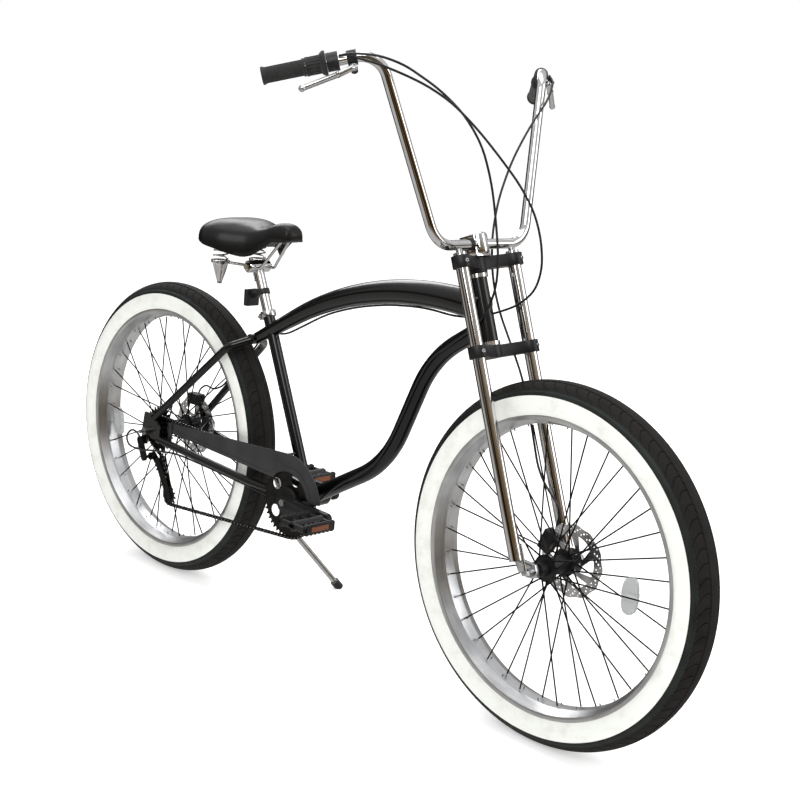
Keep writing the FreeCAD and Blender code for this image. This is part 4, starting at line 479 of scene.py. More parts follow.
def tyre(prefix, centre):
    """Tread with bowed sipes and a wavy groove on each side, shoulders, ridge rings and white bands."""
    mesh = bmesh.new()
    count = round(TAU * TYRE_RADIUS / SIPE_SPACING)
    spacing = TAU * TYRE_RADIUS / count
    half = SIPE_WIDTH / 2
    steps = []
    for phase in SIPE_PHASES:
        walls_and_floor = ((-half, False), (-half / 2, True), (half / 2, True), (half, False))
        steps += [(phase * spacing + place, phase, floor) for place, floor in walls_and_floor]
        steps += [((phase + share) * spacing, phase, False) for share in BLOCK_SHARES]
    middle = len(TREAD_ROW_SHARES) - 1
    leans = [share * TREAD_EDGE for share in TREAD_ROW_SHARES]
    leans = [-lean for lean in leans[:0:-1]] + leans
    columns = []
    for turn in range(count):
        for run, phase, floor in steps:
            along = turn * spacing + run
            wave = GROOVE_WAVE * math.sin(TAU * along / spacing)
            column = []
            for row, lean in enumerate(leans):
                level = abs(row - middle)
                cut = floor and (phase == 0) == (lean > 0) and SIPE_SPAN[0] < TREAD_ROW_SHARES[level] < SIPE_SPAN[1]
                lift = -GROOVE_DEPTH if level in GROOVE_ROWS else -SIPE_DEPTH if cut else 0.0
                swing = math.copysign(wave, lean) if level in WAVY_ROWS else 0.0
                column.append(mesh.verts.new(tread_point(centre, along + sipe_bow(lean), lean + swing, lift)))
            columns.append(column)
    skin(mesh, list(zip(*columns)))
    for side in BOTH_SIDES:
        rings = []
        for share, stand in WALL_ROWS:
            lean = side * (TREAD_EDGE + (BEAD_ANGLE - TREAD_EDGE) * share)
            rings.append([mesh.verts.new(tread_point(centre, TYRE_RADIUS * angle, lean, stand * MM))
                          for angle in turns(WALL_SEGMENTS)])
        skin(mesh, rings, slots=WALL_SLOTS)
    piece(prefix + "_balloon_tyre", mesh, prefix + "_wheel", "tyre_rubber", TREAD, SHOULDER, WHITEWALL,
          replaces=[prefix + "_tyre"])


# rims and spokes
# half of the hoop's section, from its well round the rolled lip and back: radius and half width in millimetres
RIM_PROFILE = [(301, 14), (303, 16), (311.5, 32), (317, 34.6), (319.6, 35.8), (320.4, 36.9), (319.6, 38), (316, 38.3),
               (310, 38), (308, 37.1), (307.1, 35), (299.2, 17), (298.3, 15), (298, 12)]
RIM_SEGMENTS = 240
SPOKES = 36
SPOKE_CROSSES = 3
SPOKE_REACH = 298 * MM
SPOKE_END_GAP = 2 * MM
SPOKE_STAGGER = 7 * MM
SPOKE_CIRCLE = 26 * MM
SPOKE_LIFT = 2.85 * MM
ELBOW_CIRCLE = 25.4 * MM
ELBOW_LIFT = 1.2 * MM
# the swelled butt ends between these shares of the spoke, and radii of butt and wire, in millimetres
BUTT_SHARES = (0.12, 0.16)
BUTT_RADIUS = 1.9
WIRE_RADIUS = 1.7
NIPPLE_INSET = 5 * MM
# wheel reflectors, in millimetres: half width and length of the oval, how square it is, thickness and edge
LENS_HALF = (19, 39)
LENS_SQUARENESS = (0.7, 0.8)
LENS_THICKNESS = 7
LENS_EDGE = 1.5
# each wheel: its name, axle, spread of its flanges, and its reflector's reach and angle, in millimetres and degrees
WHEELS = (("front", FRONT_AXLE, 60, 193, -1.6), ("rear", REAR_AXLE, 76, 262, -171))


def rim(prefix, centre):
    """A wide hoop with rolled lips, stepped shoulders and a shallow well."""
    profile = RIM_PROFILE + [(radius, -half) for radius, half in RIM_PROFILE[::-1]]
    piece(prefix + "_hoop", lathe(profile, RIM_SEGMENTS, centre, Y_AXIS, closed=True), prefix + "_wheel", "rim_alloy",
          RIM_ALLOY, replaces=[prefix + "_rim"])


def node_tree(name, sizes):
    """An empty geometry tree with named number inputs, its input node and a table of their identifiers."""
    tree = bpy.data.node_groups.new(name, "GeometryNodeTree")
    tree.interface.new_socket("Geometry", in_out="OUTPUT", socket_type="NodeSocketGeometry")
    kinds = {int: "NodeSocketInt", float: "NodeSocketFloat"}
    keys = {}
    for label, value in sizes.items():
        socket = tree.interface.new_socket(label, in_out="INPUT", socket_type=kinds[type(value)])
        keys[label] = socket.identifier
    return tree, add(tree, "NodeGroupInput").outputs, keys


def grown(tree, geometry, keys, sizes, name):
    """The tree's result as a plain mesh, with its repeats made real."""
    real = add(tree, "GeometryNodeRealizeInstances", {"Geometry": geometry}).outputs["Geometry"]
    add(tree, "NodeGroupOutput", {"Geometry": real})
    holder = linked(name + "_seed", bpy.data.meshes.new(name + "_seed"))
    modifier = holder.modifiers.new("grow", "NODES")
    modifier.node_group = tree
    for label, value in sizes.items():
        modifier[keys[label]] = value
    bpy.context.view_layer.update()
    evaluated = holder.evaluated_get(bpy.context.evaluated_depsgraph_get())
    mesh = bpy.data.meshes.new_from_object(evaluated)
    holder.modifiers.clear()
    bpy.data.objects.remove(holder)
    # drops the empty slot that grown meshes bring, so that the piece's own material comes first
    mesh.materials.clear()
    return mesh


def ring_of_nipples(prefix, centre):
    """Spoke nipples round the hoop, one at each spoke's end, left and right by turns."""
    sizes = {"Count": SPOKES, "Radius": SPOKE_REACH - NIPPLE_INSET, "Offset": SPOKE_STAGGER, "Length": 13 * MM,
             "Thickness": 2.3 * MM, "Tip": 1.5 * MM, "Sides": 10}
    tree, inputs, keys = node_tree("nipple_ring", sizes)
    points = add(tree, "GeometryNodeMeshCircle", {"Vertices": inputs["Count"], "Radius": inputs["Radius"]})
    index = add(tree, "GeometryNodeInputIndex").outputs["Index"]
    odd = add(tree, "ShaderNodeMath", {0: index, 1: 2.0}, operation="MODULO").outputs["Value"]
    height = product(tree, between(tree, odd, -1.0, 1.0), inputs["Offset"])
    shift = add(tree, "ShaderNodeCombineXYZ", {"Z": height}).outputs["Vector"]
    place = add(tree, "GeometryNodeInputPosition").outputs["Position"]
    moved = add(tree, "GeometryNodeSetPosition", {"Geometry": points.outputs["Mesh"], "Offset": shift})
    turn = add(tree, "FunctionNodeAlignEulerToVector", {"Vector": place}, axis="Z").outputs["Rotation"]
    nipple = add(tree, "GeometryNodeMeshCone", {
        "Vertices": inputs["Sides"], "Side Segments": 1, "Radius Top": inputs["Thickness"],
        "Radius Bottom": inputs["Tip"], "Depth": inputs["Length"]})
    ring = add(tree, "GeometryNodeInstanceOnPoints", {
        "Points": moved.outputs["Geometry"], "Instance": nipple.outputs["Mesh"], "Rotation": turn})
    mesh = grown(tree, ring.outputs["Instances"], keys, sizes, prefix + "_nipples")
    mesh.transform(Matrix.Translation(centre) @ Matrix.Rotation(math.radians(90), 4, "X"))
    piece(prefix + "_nipples", mesh, prefix + "_wheel", "axle_steel", ZINC)


def spoke_wires(prefix, centre, flanges):
    """Crossed wire spokes with a swelled butt and an elbow at the flange, as thick as the photo shows them."""
    wires = []
    for index in range(SPOKES):
        side = 1 if index % 2 else -1
        lead = 1 if index // 2 % 2 else -1
        rim_angle = TAU * index / SPOKES
        hub_out = in_plane(rim_angle + lead * SPOKE_CROSSES * TAU / SPOKES)
        flange = side * flanges * MM / 2
        start = centre + hub_out * SPOKE_CIRCLE + Y_AXIS * (flange + side * lead * SPOKE_LIFT)
        end = centre + in_plane(rim_angle) * (SPOKE_REACH - SPOKE_END_GAP) + Y_AXIS * (side * SPOKE_STAGGER)
        elbow = centre + hub_out * ELBOW_CIRCLE + Y_AXIS * (flange - side * lead * ELBOW_LIFT)
        path = [elbow, start, *(start.lerp(end, share) for share in BUTT_SHARES), end]
        wires.append(sweep(path, lambda share: circle(BUTT_RADIUS if share < 0.6 else WIRE_RADIUS, 8)))
    piece(prefix + "_wires", join(*wires), prefix + "_wheel", "spoke_black", BLACK_STEEL,
          replaces=[prefix + "_spokes"], angle=50)


def wheel_reflector(prefix, centre, reach, angle):
    """A clear oval lens clipped between the spokes, its long side along the turn."""
    outline = [tuple(half * signed_power(value, power) for half, value, power
                     in zip(LENS_HALF, polar(1, turn), LENS_SQUARENESS)) for turn in turns(48)]
    out = in_plane(math.radians(angle))
    along = Vector((-out.z, 0, out.x))
    mesh = outline_plate([outline], LENS_THICKNESS, set_in(centre + out * (reach * MM), out, along, -Y_AXIS))
    rounded(mesh, [edge for edge in mesh.edges if edge.calc_face_angle(0) > 1], LENS_EDGE, 2)
    piece(prefix + "_wheel_reflector", mesh, prefix + "_wheel", "reflector_red", CLEAR)


# brake discs, in millimetres
ROTOR_RADIUS = 78.4
ROTOR_WAVE = 1.5
ROTOR_WAVES = 12
ROTOR_BORE = 9
ROTOR_ARMS = 6
# a window's outer and inner edge: radius, first angle, span, and steps
WINDOW_EDGES = ((58, 0.16, 0.72, 4), (29, 1.26, -0.62, 2))
# rows of drilled holes: radius of the row and of its holes
HOLE_ROWS = ((64.5, 2.0), (69.5, 2.4), (74, 1.8))
HOLES_IN_ROW = 24
HOLE_STAGGER = 0.33
BOLT_CIRCLE = 22
BOLT_HOLE = 2.6


def hole(radius, angle, size):
    """The outline of a small round hole at a radius and angle."""
    x, y = polar(radius, angle)
    return [(x + across, y + up) for across, up in circle(size, 10)]


def rotor(prefix, centre):
    """A wave-edged brake disc with drilled holes in its band and swept arms."""
    low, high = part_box(prefix + "_rotor")
    loops = [[polar(ROTOR_RADIUS + ROTOR_WAVE * math.cos(ROTOR_WAVES * a), a) for a in turns(240)],
             circle(ROTOR_BORE, 32)]
    for start in turns(ROTOR_ARMS):
        edges = [arc(radius, start + first, start + first + span, steps) for radius, first, span, steps in WINDOW_EDGES]
        loops.append(edges[0] + edges[1])
    for row, (radius, size) in enumerate(HOLE_ROWS):
        for i in range(HOLES_IN_ROW):
            loops.append(hole(radius, TAU * (i + HOLE_STAGGER * row) / HOLES_IN_ROW, size))
    for start in turns(ROTOR_ARMS):
        loops.append(hole(BOLT_CIRCLE, start + math.pi / ROTOR_ARMS, BOLT_HOLE))
    middle = Vector((centre.x, (low.y + high.y) / 2, centre.z))
    mesh = outline_plate(loops, (high.y - low.y) / MM, frame_at(middle, Y_AXIS))
    piece(prefix + "_brake_disc", mesh, prefix + "_wheel", "rotor_steel", STAINLESS, replaces=[prefix + "_rotor"],
          angle=None)


for prefix, centre, flanges, reach, angle in WHEELS:
    tyre(prefix, centre)
    rim(prefix, centre)
    ring_of_nipples(prefix, centre)
    rotor(prefix, centre)
    spoke_wires(prefix, centre, flanges)
    wheel_reflector(prefix, centre, reach, angle)


# pieces that keep the solid's form, with their edges rounded off
FORM_ANGLE = 38
# node, piece, body, slot, material, and the rounding in millimetres
SOFTENED = (
    ("upper_crown", "upper_crown_casting", "fork", "crown_paint", SATIN_BLACK, 3.0),
    ("lower_crown", "lower_crown_casting", "fork", "crown_paint", SATIN_BLACK, 3.0),
    ("stem", "stem_clamp_block", "fork", "chrome", CHROME, 5.0),
    ("fork_dropouts", "fork_ends", "fork", "crown_paint", POLISHED, 1.5),
    ("front_caliper", "front_caliper_body", "fork", "crown_paint", SATIN_BLACK, 2.5),
    ("rear_caliper", "rear_caliper_body", "frame", "crown_paint", SATIN_BLACK, 2.5),
    ("right_crank_arm", "right_crank_forging", "crank", "drive_black", SATIN_BLACK, 2.5),
    ("left_crank_arm", "left_crank_forging", "crank", "drive_black", SATIN_BLACK, 2.5),
    ("derailleur_body", "derailleur_forging", "frame", "drive_black", BLACK_STEEL, 1.5),
    ("seat_clamp", "seat_collar", "frame", "chrome", POLISHED, 1.0),
)


def softened(node, name, body, slot, material, radius):
    """A copy of a solid's mesh whose sharp edges are rounded as casting, forging or moulding leaves them."""
    mesh = bmesh.new()
    mesh.from_mesh(nodes[node].data)
    bmesh.ops.remove_doubles(mesh, verts=mesh.verts, dist=1e-6)
    bmesh.ops.dissolve_limit(mesh, angle_limit=math.radians(0.6), verts=mesh.verts, edges=mesh.edges)
    sharp = [edge for edge in mesh.edges
             if len(edge.link_faces) == 2 and edge.calc_face_angle(0) > math.radians(FORM_ANGLE)]
    rounded(mesh, sharp, radius, 2, clamp=True)
    piece(name, mesh, body, slot, material, replaces=[node], angle=FORM_ANGLE)


for row in SOFTENED:
    softened(*row)


# bar, grips and levers: places repeated from the sizes of the solids
STEER_FOOT = FRONT_AXLE - STEER_FORWARD * (67 * MM)
BAR_CENTRE = STEER_FOOT + STEER_UP * (692 * MM) + STEER_FORWARD * (20 * MM)
# runs of the bar on its left half, in millimetres: to the lower bend, to the upper bend, and to the end
BAR_RUNS = ((8, 138, 0), (-89, 116, 375), (-153, 165, -64))
PERCH_MIDDLE = 56 * MM
PIVOT_OFFSET = 26 * MM
# places on the lever from its pivot: along the bar and below it
LEVER_KNEE = (34 * MM, 12 * MM)
LEVER_TIP = (108 * MM, 29 * MM)
LEVER_BEND = 60 * MM
LEVER_BALL = 7 * MM
# half the blade's depth at its ends and the swell between, half its thickness and how much of that it loses
LEVER_DEPTH, LEVER_SWELL = 6.4, 2.2
LEVER_THICKNESS, LEVER_TAPER = 6.2, 1.0
LEVER_EYE = [(3.05, -5), (6.6, -5), (7.5, -4), (7.5, 4), (6.6, 5), (3.05, 5)]
RIBBED_FROM = 15
LEFT_GRIP, RIGHT_GRIP = 130, 88
GRIP_COLLAR = [(11.1, 0), (17.5, 0), (18.2, 1.5), (18.2, 4), (16.4, 5.5)]
GRIP_RADIUS = 15.5
GRIP_ROWS = 12
TWIST_COLLAR = [(11.15, 0), (23.5, 0), (25, 1.2), (25, 4.5), (23.6, 7.5), (21, 10.5), (19, 12.5)]
TWIST_LENGTH = 42
TWIST_END = 84.5
# bolts on each side of the fork: up the steerer, forward and aside in millimetres, direction and splay, head sizes
FORK_BOLTS = (
    (462, 56, 87, STEER_FORWARD, 0.25, 4.2, 4),
    (652, 56, 87, STEER_FORWARD, 0.25, 4.2, 4),
    (670.5, 38, 83, STEER_UP, 0, 7, 9),
    (679, 29.5, 13, STEER_FORWARD, 0, 4.0, 3.5),
    (706, 29.5, 13, STEER_FORWARD, 0, 4.0, 3.5),
)
STEM_CAP = [(0, -23), (14, -23), (17, -22), (18.5, -20), (19, -17)]
STEM_CAP_FORWARD = 2 * MM
SHIM_PROFILE = [(11.1, 0), (13.2, 0), (13.2, 13), (11.1, 13)]
SHIM_ASIDE = 35.5 * MM


def bar_places(side):
    """The upper bend and the end of the bar, and the directions along and below the grip on one side."""
    to_low, to_high, to_end = (mm(x, side * y, z) for x, y, z in BAR_RUNS)
    high = BAR_CENTRE + to_low + to_high
    end = high + to_end
    along = (end - high).normalized()
    outward = along.cross(Z_AXIS).normalized() * side
    upward = (Z_AXIS - along * along.z).normalized()
    return high, end, along, (outward - upward).normalized()


def lever_section(share):
    """The blade's outline: flat and deep, thinning towards its end."""
    wide = LEVER_DEPTH + LEVER_SWELL * math.sin(math.pi * min(1, share * 1.05))
    thick = LEVER_THICKNESS - LEVER_TAPER * share
    return [(thick * math.cos(a), wide * math.sin(a)) for a in turns(16)]


def lever(side, hand):
    """A cast blade: a deep root at the pivot, a flat finger rest that thins, and a ball end."""
    high, _, along, drop = bar_places(side)
    root = high + along * PERCH_MIDDLE + drop * PIVOT_OFFSET
    knee, tip = (root + along * far + drop * below for far, below in (LEVER_KNEE, LEVER_TIP))
    hinge = along.cross(drop)
    blade = sweep(bent_path([root, knee, tip], LEVER_BEND, 14), lever_section, hinge)
    ball = bmesh.new()
    bmesh.ops.create_uvsphere(ball, u_segments=20, v_segments=12, radius=LEVER_BALL)
    ball.transform(Matrix.Translation(tip))
    eye = lathe(LEVER_EYE, 28, root, hinge, closed=True)
    piece(hand + "_lever_blade", join(blade, ball, eye), hand + "_lever", "lever_alloy", POLISHED,
          replaces=[hand + "_brake_lever"], angle=50)


def ribbed(profile, ribs, depth, base, axis, span, segments):
    """A turned grip whose outer skin stands in ribs along its length, between the two places of span."""
    mesh = lathe(profile, segments, base, axis, closed=True)
    turn = frame_at(base, axis)
    back = turn.inverted()
    for vert in mesh.verts:
        local = back @ vert.co
        reach = math.hypot(local.x, local.y)
        if span[0] * MM < local.z < span[1] * MM and reach > RIBBED_FROM * MM:
            lift = depth * MM * max(0.0, math.cos(ribs * math.atan2(local.y, local.x)))
            scale = (reach + lift) / reach
            vert.co = turn @ Vector((local.x * scale, local.y * scale, local.z))
    mesh.normal_update()
    return mesh


def hand_grip(side, length):
    """A rubber sleeve with a collar at each end and fine ribs between them."""
    _, end, along, _ = bar_places(side)
    wall = GRIP_COLLAR + [(GRIP_RADIUS, 5.6 + (length - 14) * i / GRIP_ROWS) for i in range(GRIP_ROWS + 1)]
    wall += [(16.6, length - 8), (18.4, length - 3), (18.0, length - 0.8), (16.5, length), (3, length + 0.6),
             (3, length - 3), (11.1, length - 4)]
    return ribbed(wall, 30, 0.6, end - along * ((length - 4) * MM), along, (5.55, length - 8.1), 240)


def twist_shifter():
    """The turning grip: a bell-shaped collar against the housing and a ribbed sleeve."""
    _, end, along, _ = bar_places(-1)
    wall = TWIST_COLLAR + [(17.6, 13 + 2.5 * i) for i in range(10)]
    wall += [(19.2, 37.5), (19.4, 40.5), (18, TWIST_LENGTH), (11.15, TWIST_LENGTH)]
    mesh = ribbed(wall, 18, 1.1, end - along * ((TWIST_END + TWIST_LENGTH) * MM), along, (12.8, 36.5), 216)
    piece("twist_sleeve", mesh, "twist_grip", "grip_rubber", RUBBER, replaces=["twist_grip"], angle=45)


def bolt_head(place, axis, radius, height):
    """A socket-head bolt with a rounded rim and a recess."""
    rim = [(0, 0), (radius, 0), (radius, height * 0.8), (radius * 0.9, height), (radius * 0.52, height),
           (radius * 0.5, height * 0.45), (0, height * 0.45)]
    return lathe(rim, 28, place, axis)


def steering_bolts():
    """Pinch bolts of the two crowns, the leg-top bolts and the stem's clamp bolts."""
    heads = []
    for side in BOTH_SIDES:
        for up, forward, aside, axis, splay, radius, height in FORK_BOLTS:
            place = STEER_FOOT + STEER_UP * (up * MM) + STEER_FORWARD * (forward * MM) + Y_AXIS * (side * aside * MM)
            heads.append(bolt_head(place, (axis + Y_AXIS * (side * splay)).normalized(), radius, height))
    piece("steering_bolts", join(*heads), "fork", "chrome", ZINC)


def stem_barrel():
    """The upright chromed cap that closes the stem over the bar."""
    rows = STEM_CAP + [(radius, -along) for radius, along in STEM_CAP[::-1]]
    mesh = lathe(rows, 48, BAR_CENTRE + STEER_FORWARD * STEM_CAP_FORWARD, STEER_UP)
    piece("stem_barrel", mesh, "fork", "chrome", CHROME)


lever(1, "left")
lever(-1, "right")
piece("hand_grips", join(hand_grip(1, LEFT_GRIP), hand_grip(-1, RIGHT_GRIP)), "fork", "grip_rubber", RUBBER,
      replaces=["grips"], angle=45)
twist_shifter()
steering_bolts()
stem_barrel()
shim = lathe(SHIM_PROFILE, 40, BAR_CENTRE - Y_AXIS * SHIM_ASIDE, Y_AXIS, closed=True)
piece("bar_shim", shim, "fork", "crown_paint", SATIN_BLACK)


# saddle
POST_HEAD = mm(-352.5, 0, 865.5)
PAN = 51 * MM
SADDLE_TAIL = -128 * MM
SADDLE_LENGTH = 263 * MM
# stations from tail to nose: share of length, half width, crown height and lower edge above the pan, in millimetres
SADDLE_STATIONS = (
    (0.0, 58, 31, 15), (0.025, 80, 42, 12), (0.08, 105, 54, 8), (0.2, 121, 60.5, 0), (0.34, 113, 58, -7),
    (0.46, 88, 52, -17), (0.57, 62, 48.5, -20), (0.68, 45, 54.5, -1), (0.8, 37, 65, 21), (0.9, 33, 67, 25),
    (0.97, 28, 60, 28), (1.0, 18, 46, 33))
# the pan is hollow under the waist, between two hanging skirts: share of length, share of the pad's depth
HOLLOW_SHARES = ((0.0, 0.0), (0.34, 0.0), (0.46, 0.5), (0.57, 0.62), (0.66, 0.5), (0.76, 0.05), (1.0, 0.0))
HOLLOW_FROM = 0.55
HOLLOW_EASE = 0.4
FULLNESS = 0.72
PAN_SAG = 3.2 * MM
PAN_TUCK = 0.1
# the welt's angle below the edge, its first share of the length, and how far along it runs
WELT_ANGLE = 0.1
WELT_TAIL = 0.004
WELT_RUN = 0.985
WELT_RADIUS = 2.0
RAIL_CLAMP_HALF = 31 * MM
NUT_PROFILE = [(0, 8), (8.5, 8), (9.5, 7), (9.5, -1)]
WASHER_PROFILE = [(9.4, 2), (13, 2), (14, 1), (14, -1)]
# springs and bullets, in millimetres from the post's head
SPRING_SEAT = (-72, 60, 8)
SPRING_RADIUS = 17
SPRING_WIRE = 2.2
SPRING_RISE = 38
SPRING_TURNS = 3
BULLET_FLANGE = [(0, 0), (20, 0), (23.2, -0.8), (24, -2.2), (23.2, -3.5), (21.4, -4.1), (23, -4.8), (23.8, -6.2),
                 (22.6, -7.6), (20, -8)]
BULLET_TIP = [(6.4, -57.5), (5.2, -59.2), (0, -60)]
BULLET_ROWS = 14
FLUTES = 10
FLUTE_DEPTH = 0.13
FLUTE_SPAN = (-55 * MM, -9 * MM)
# the reflector on the post: its height up the seat tube, how far back its arm, housing and lens lie, and its strap
REFLECTOR_UP = 519 * MM
ARM_BACK = 27 * MM
HOUSING_BACK = 48.7 * MM
LENS_BACK = 7.6 * MM
STRAP_PROFILE = [(12.7, -7), (15.2, -7), (15.7, -6), (15.7, 6), (15.2, 7), (12.7, 7)]


def eased(stations, share, column):
    """A value between stations, on a smooth curve through them."""
    last = len(stations) - 1
    i = max(k for k in range(last) if stations[k][0] <= share or k == 0)
    t = (share - stations[i][0]) / (stations[i + 1][0] - stations[i][0])
    a, b, c, d = (stations[min(max(k, 0), last)] for k in (i - 1, i, i + 1, i + 2))
    span = c[0] - b[0]
    slope_b = (c[column] - a[column]) / (c[0] - a[0]) * span
    slope_c = (d[column] - b[column]) / (d[0] - b[0]) * span
    return ((2 * t ** 3 - 3 * t ** 2 + 1) * b[column] + (t ** 3 - 2 * t ** 2 + t) * slope_b
            + (3 * t ** 2 - 2 * t ** 3) * c[column] + (t ** 3 - t ** 2) * slope_c)


def saddle_point(share, angle):
    """A place on the saddle's skin: angle 0 is the right edge, a quarter turn the crown."""
    half, top, low = (eased(SADDLE_STATIONS, share, column) * MM for column in (1, 2, 3))
    rise = math.sin(angle)
    y = half * signed_power(math.cos(angle), FULLNESS)
    if rise >= 0:
        z = low + (top - low) * rise ** FULLNESS
    else:
        hollow = eased(HOLLOW_SHARES, share, 1) * (top - low)
        inward = min(1.0, max(0.0, (-rise - HOLLOW_FROM) / HOLLOW_EASE))
        z = low - PAN_SAG * (-rise) ** 0.5 + hollow * inward ** 2 * (3 - 2 * inward)
        y *= 1 - PAN_TUCK * (-rise) ** 0.5
    return POST_HEAD + Vector((SADDLE_TAIL + share * SADDLE_LENGTH, -y, PAN + z))


def saddle():
    """Foam under vinyl: a wide crowned seat, a waist and a long nose, with a welt round its lower edge."""
    rows, sides = 72, 72
    mesh = bmesh.new()
    shares = [0.5 - 0.5 * math.cos(math.pi * row / rows) for row in range(rows + 1)]
    rings = [[mesh.verts.new(saddle_point(share, angle)) for angle in turns(sides)] for share in shares]
    skin(mesh, rings, caps=True)
    pad = piece("saddle_pad", mesh, "seat_post", "saddle_vinyl", VINYL, replaces=["saddle"], angle=70)
    steps, tail_steps = 60, 24
    runs = [WELT_RUN * (i / steps) ** 1.4 + WELT_TAIL for i in range(steps + 1)]
    edge = [saddle_point(share, -WELT_ANGLE) for share in runs[::-1]]
    edge += [saddle_point(WELT_TAIL, -WELT_ANGLE - (math.pi - 2 * WELT_ANGLE) * i / tail_steps)
             for i in range(1, tail_steps)]
    edge += [saddle_point(share, math.pi + WELT_ANGLE) for share in runs]
    welt = sweep(edge, lambda share: circle(WELT_RADIUS, 8))
    piece("saddle_welt", welt, "seat_post", "saddle_vinyl", VINYL, angle=60)


def rail_clamp_nuts():
    """The hexagon nut and washer at each end of the bolt that clamps the rails."""
    parts = []
    for side in BOTH_SIDES:
        place = POST_HEAD + Y_AXIS * (side * RAIL_CLAMP_HALF)
        parts.append(lathe(NUT_PROFILE, 6, place, Y_AXIS * side))
        parts.append(lathe(WASHER_PROFILE, 40, place, Y_AXIS * side))
    piece("rail_clamp_nuts", join(*parts), "seat_post", "chrome", CHROME, angle=30)


def coil_spring(seat):
    """A coil of spring wire that stands on a bullet."""
    samples = 40
    last = SPRING_TURNS * samples
    path = [seat + mm(*polar(SPRING_RADIUS, TAU * i / samples), SPRING_WIRE + SPRING_RISE * i / last)
            for i in range(last + 1)]
    return sweep(path, lambda share: circle(SPRING_WIRE, 10))


def bullet(seat):
    """A fluted cone that hangs from a flange with a bead and a groove."""
    shares = [i / BULLET_ROWS for i in range(1, BULLET_ROWS + 1)]
    cone = [(20 - 14 * share ** 1.15, -8 - 48 * share) for share in shares]
    mesh = lathe(BULLET_FLANGE + cone + BULLET_TIP, 120, seat, Z_AXIS)
    for vert in mesh.verts:
        local = vert.co - seat
        if FLUTE_SPAN[0] < local.z < FLUTE_SPAN[1]:
            scale = 1 - FLUTE_DEPTH * (0.5 - 0.5 * math.cos(FLUTES * math.atan2(local.y, local.x)))
            vert.co = seat + Vector((local.x * scale, local.y * scale, local.z))
    mesh.normal_update()
    return mesh


def saddle_springs():
    """Coil springs on fluted bullets, one on each side."""
    back, aside, up = SPRING_SEAT
    seats = [POST_HEAD + mm(back, side * aside, up) for side in BOTH_SIDES]
    parts = [build(seat) for seat in seats for build in (coil_spring, bullet)]
    piece("spring_bullets", join(*parts), "seat_post", "chrome", CHROME, replaces=["saddle_springs"])


def rear_reflector():
    """A strap round the post, a black housing and a prism lens that faces back."""
    middle = SEAT_TUBE_FOOT + SEAT_UP * REFLECTOR_UP
    back = Vector((-SEAT_UP.z, 0, SEAT_UP.x))
    strap = lathe(STRAP_PROFILE, 40, middle, SEAT_UP, closed=True)
    arm = rounded_block((28, 10, 10), 2, middle + back * ARM_BACK, axes=(back, Y_AXIS, back.cross(Y_AXIS)))
    centre = middle + back * HOUSING_BACK
    housing = rounded_block((15, 40, 42), 3, centre)
    piece("reflector_housing", join(strap, arm, housing), "seat_post", "reflector_red", PLASTIC,
          replaces=["rear_reflector"])
    lens = rounded_block((2, 34, 36), 0.8, centre - X_AXIS * LENS_BACK)
    piece("reflector_lens", lens, "seat_post", "reflector_red", RED)


saddle()
rail_clamp_nuts()
saddle_springs()
rear_reflector()


# drive
PITCH = 12.7 * MM
CHAIN_SIDE = -64 * MM
# the chain runs round the jockey wheels at these places
UPPER_JOCKEY = REAR_AXLE + mm(29, 0, -90)
LOWER_JOCKEY = REAR_AXLE + mm(76, 0, -164)
# centre, teeth and sense of turn of each wheel that the chain runs over
PULLEYS = ((CRANK, 44, 1), (REAR_AXLE, 20, 1), (UPPER_JOCKEY, 11, -1), (LOWER_JOCKEY, 11, 1))
RUN_STEPS = 60
# side plates, in millimetres: end radius, waist, thickness, and how far out inner and outer links lie
PLATE_END = 4.1
PLATE_WAIST = 3.2
PLATE_THICKNESS = 0.9
INNER_LINK, OUTER_LINK = 2.2, 3.1
PIN_PROFILE = [(0, -4.2), (1.7, -4.0), (1.7, 4.0), (0, 4.2)]
ROLLER_PROFILE = [(3.4, -1.6), (3.4, 1.6)]


def pitch_radius(teeth):
    """The radius on which the chain's pins run."""
    return PITCH / (2 * math.sin(math.pi / teeth))


def chain_places():
    """Pin places one pitch apart round the loop."""
    runs = []
    for first, second in zip(PULLEYS, PULLEYS[1:] + PULLEYS[:1]):
        span = second[0] - first[0]
        radii = [pitch_radius(teeth) * turn for _, teeth, turn in (first, second)]
        heading = math.atan2(span.z, span.x) - math.asin((radii[1] - radii[0]) / math.hypot(span.x, span.z))
        left = Vector((-math.sin(heading), 0, math.cos(heading)))
        runs.append([end[0] - left * reach for end, reach in zip((first, second), radii)])
    track = []
    for index, (centre, teeth, turn) in enumerate(PULLEYS):
        arrive, leave = runs[index - 1][1] - centre, runs[index][0] - centre
        start = math.atan2(arrive.z, arrive.x)
        swing = turn * ((math.atan2(leave.z, leave.x) - start) * turn % TAU)
        track += [centre + in_plane(start + swing * step / RUN_STEPS) * pitch_radius(teeth)
                  for step in range(RUN_STEPS + 1)]
        track += [runs[index][0].lerp(runs[index][1], step / RUN_STEPS) for step in range(1, RUN_STEPS)]
    lengths = [0.0]
    for near, far in zip(track, track[1:] + track[:1]):
        lengths.append(lengths[-1] + (far - near).length)
    count = 2 * round(lengths[-1] / PITCH / 2)
    places = []
    k = 0
    for i in range(count):
        want = lengths[-1] * i / count
        while lengths[k + 1] < want:
            k += 1
        place = track[k].lerp(track[(k + 1) % len(track)], (want - lengths[k]) / (lengths[k + 1] - lengths[k]))
        places.append(Vector((place.x, CHAIN_SIDE, place.z)))
    return places


def link_outline(length):
    """A waisted side plate about its two pins."""
    quarter = math.pi / 2
    ends = [[(side * length / 2 + x, y) for x, y in arc(PLATE_END, -side * quarter, (2 - side) * quarter, 8)]
            for side in (-1, 1)]
    return ends[0] + [(0.0, -PLATE_WAIST)] + ends[1] + [(0.0, PLATE_WAIST)]


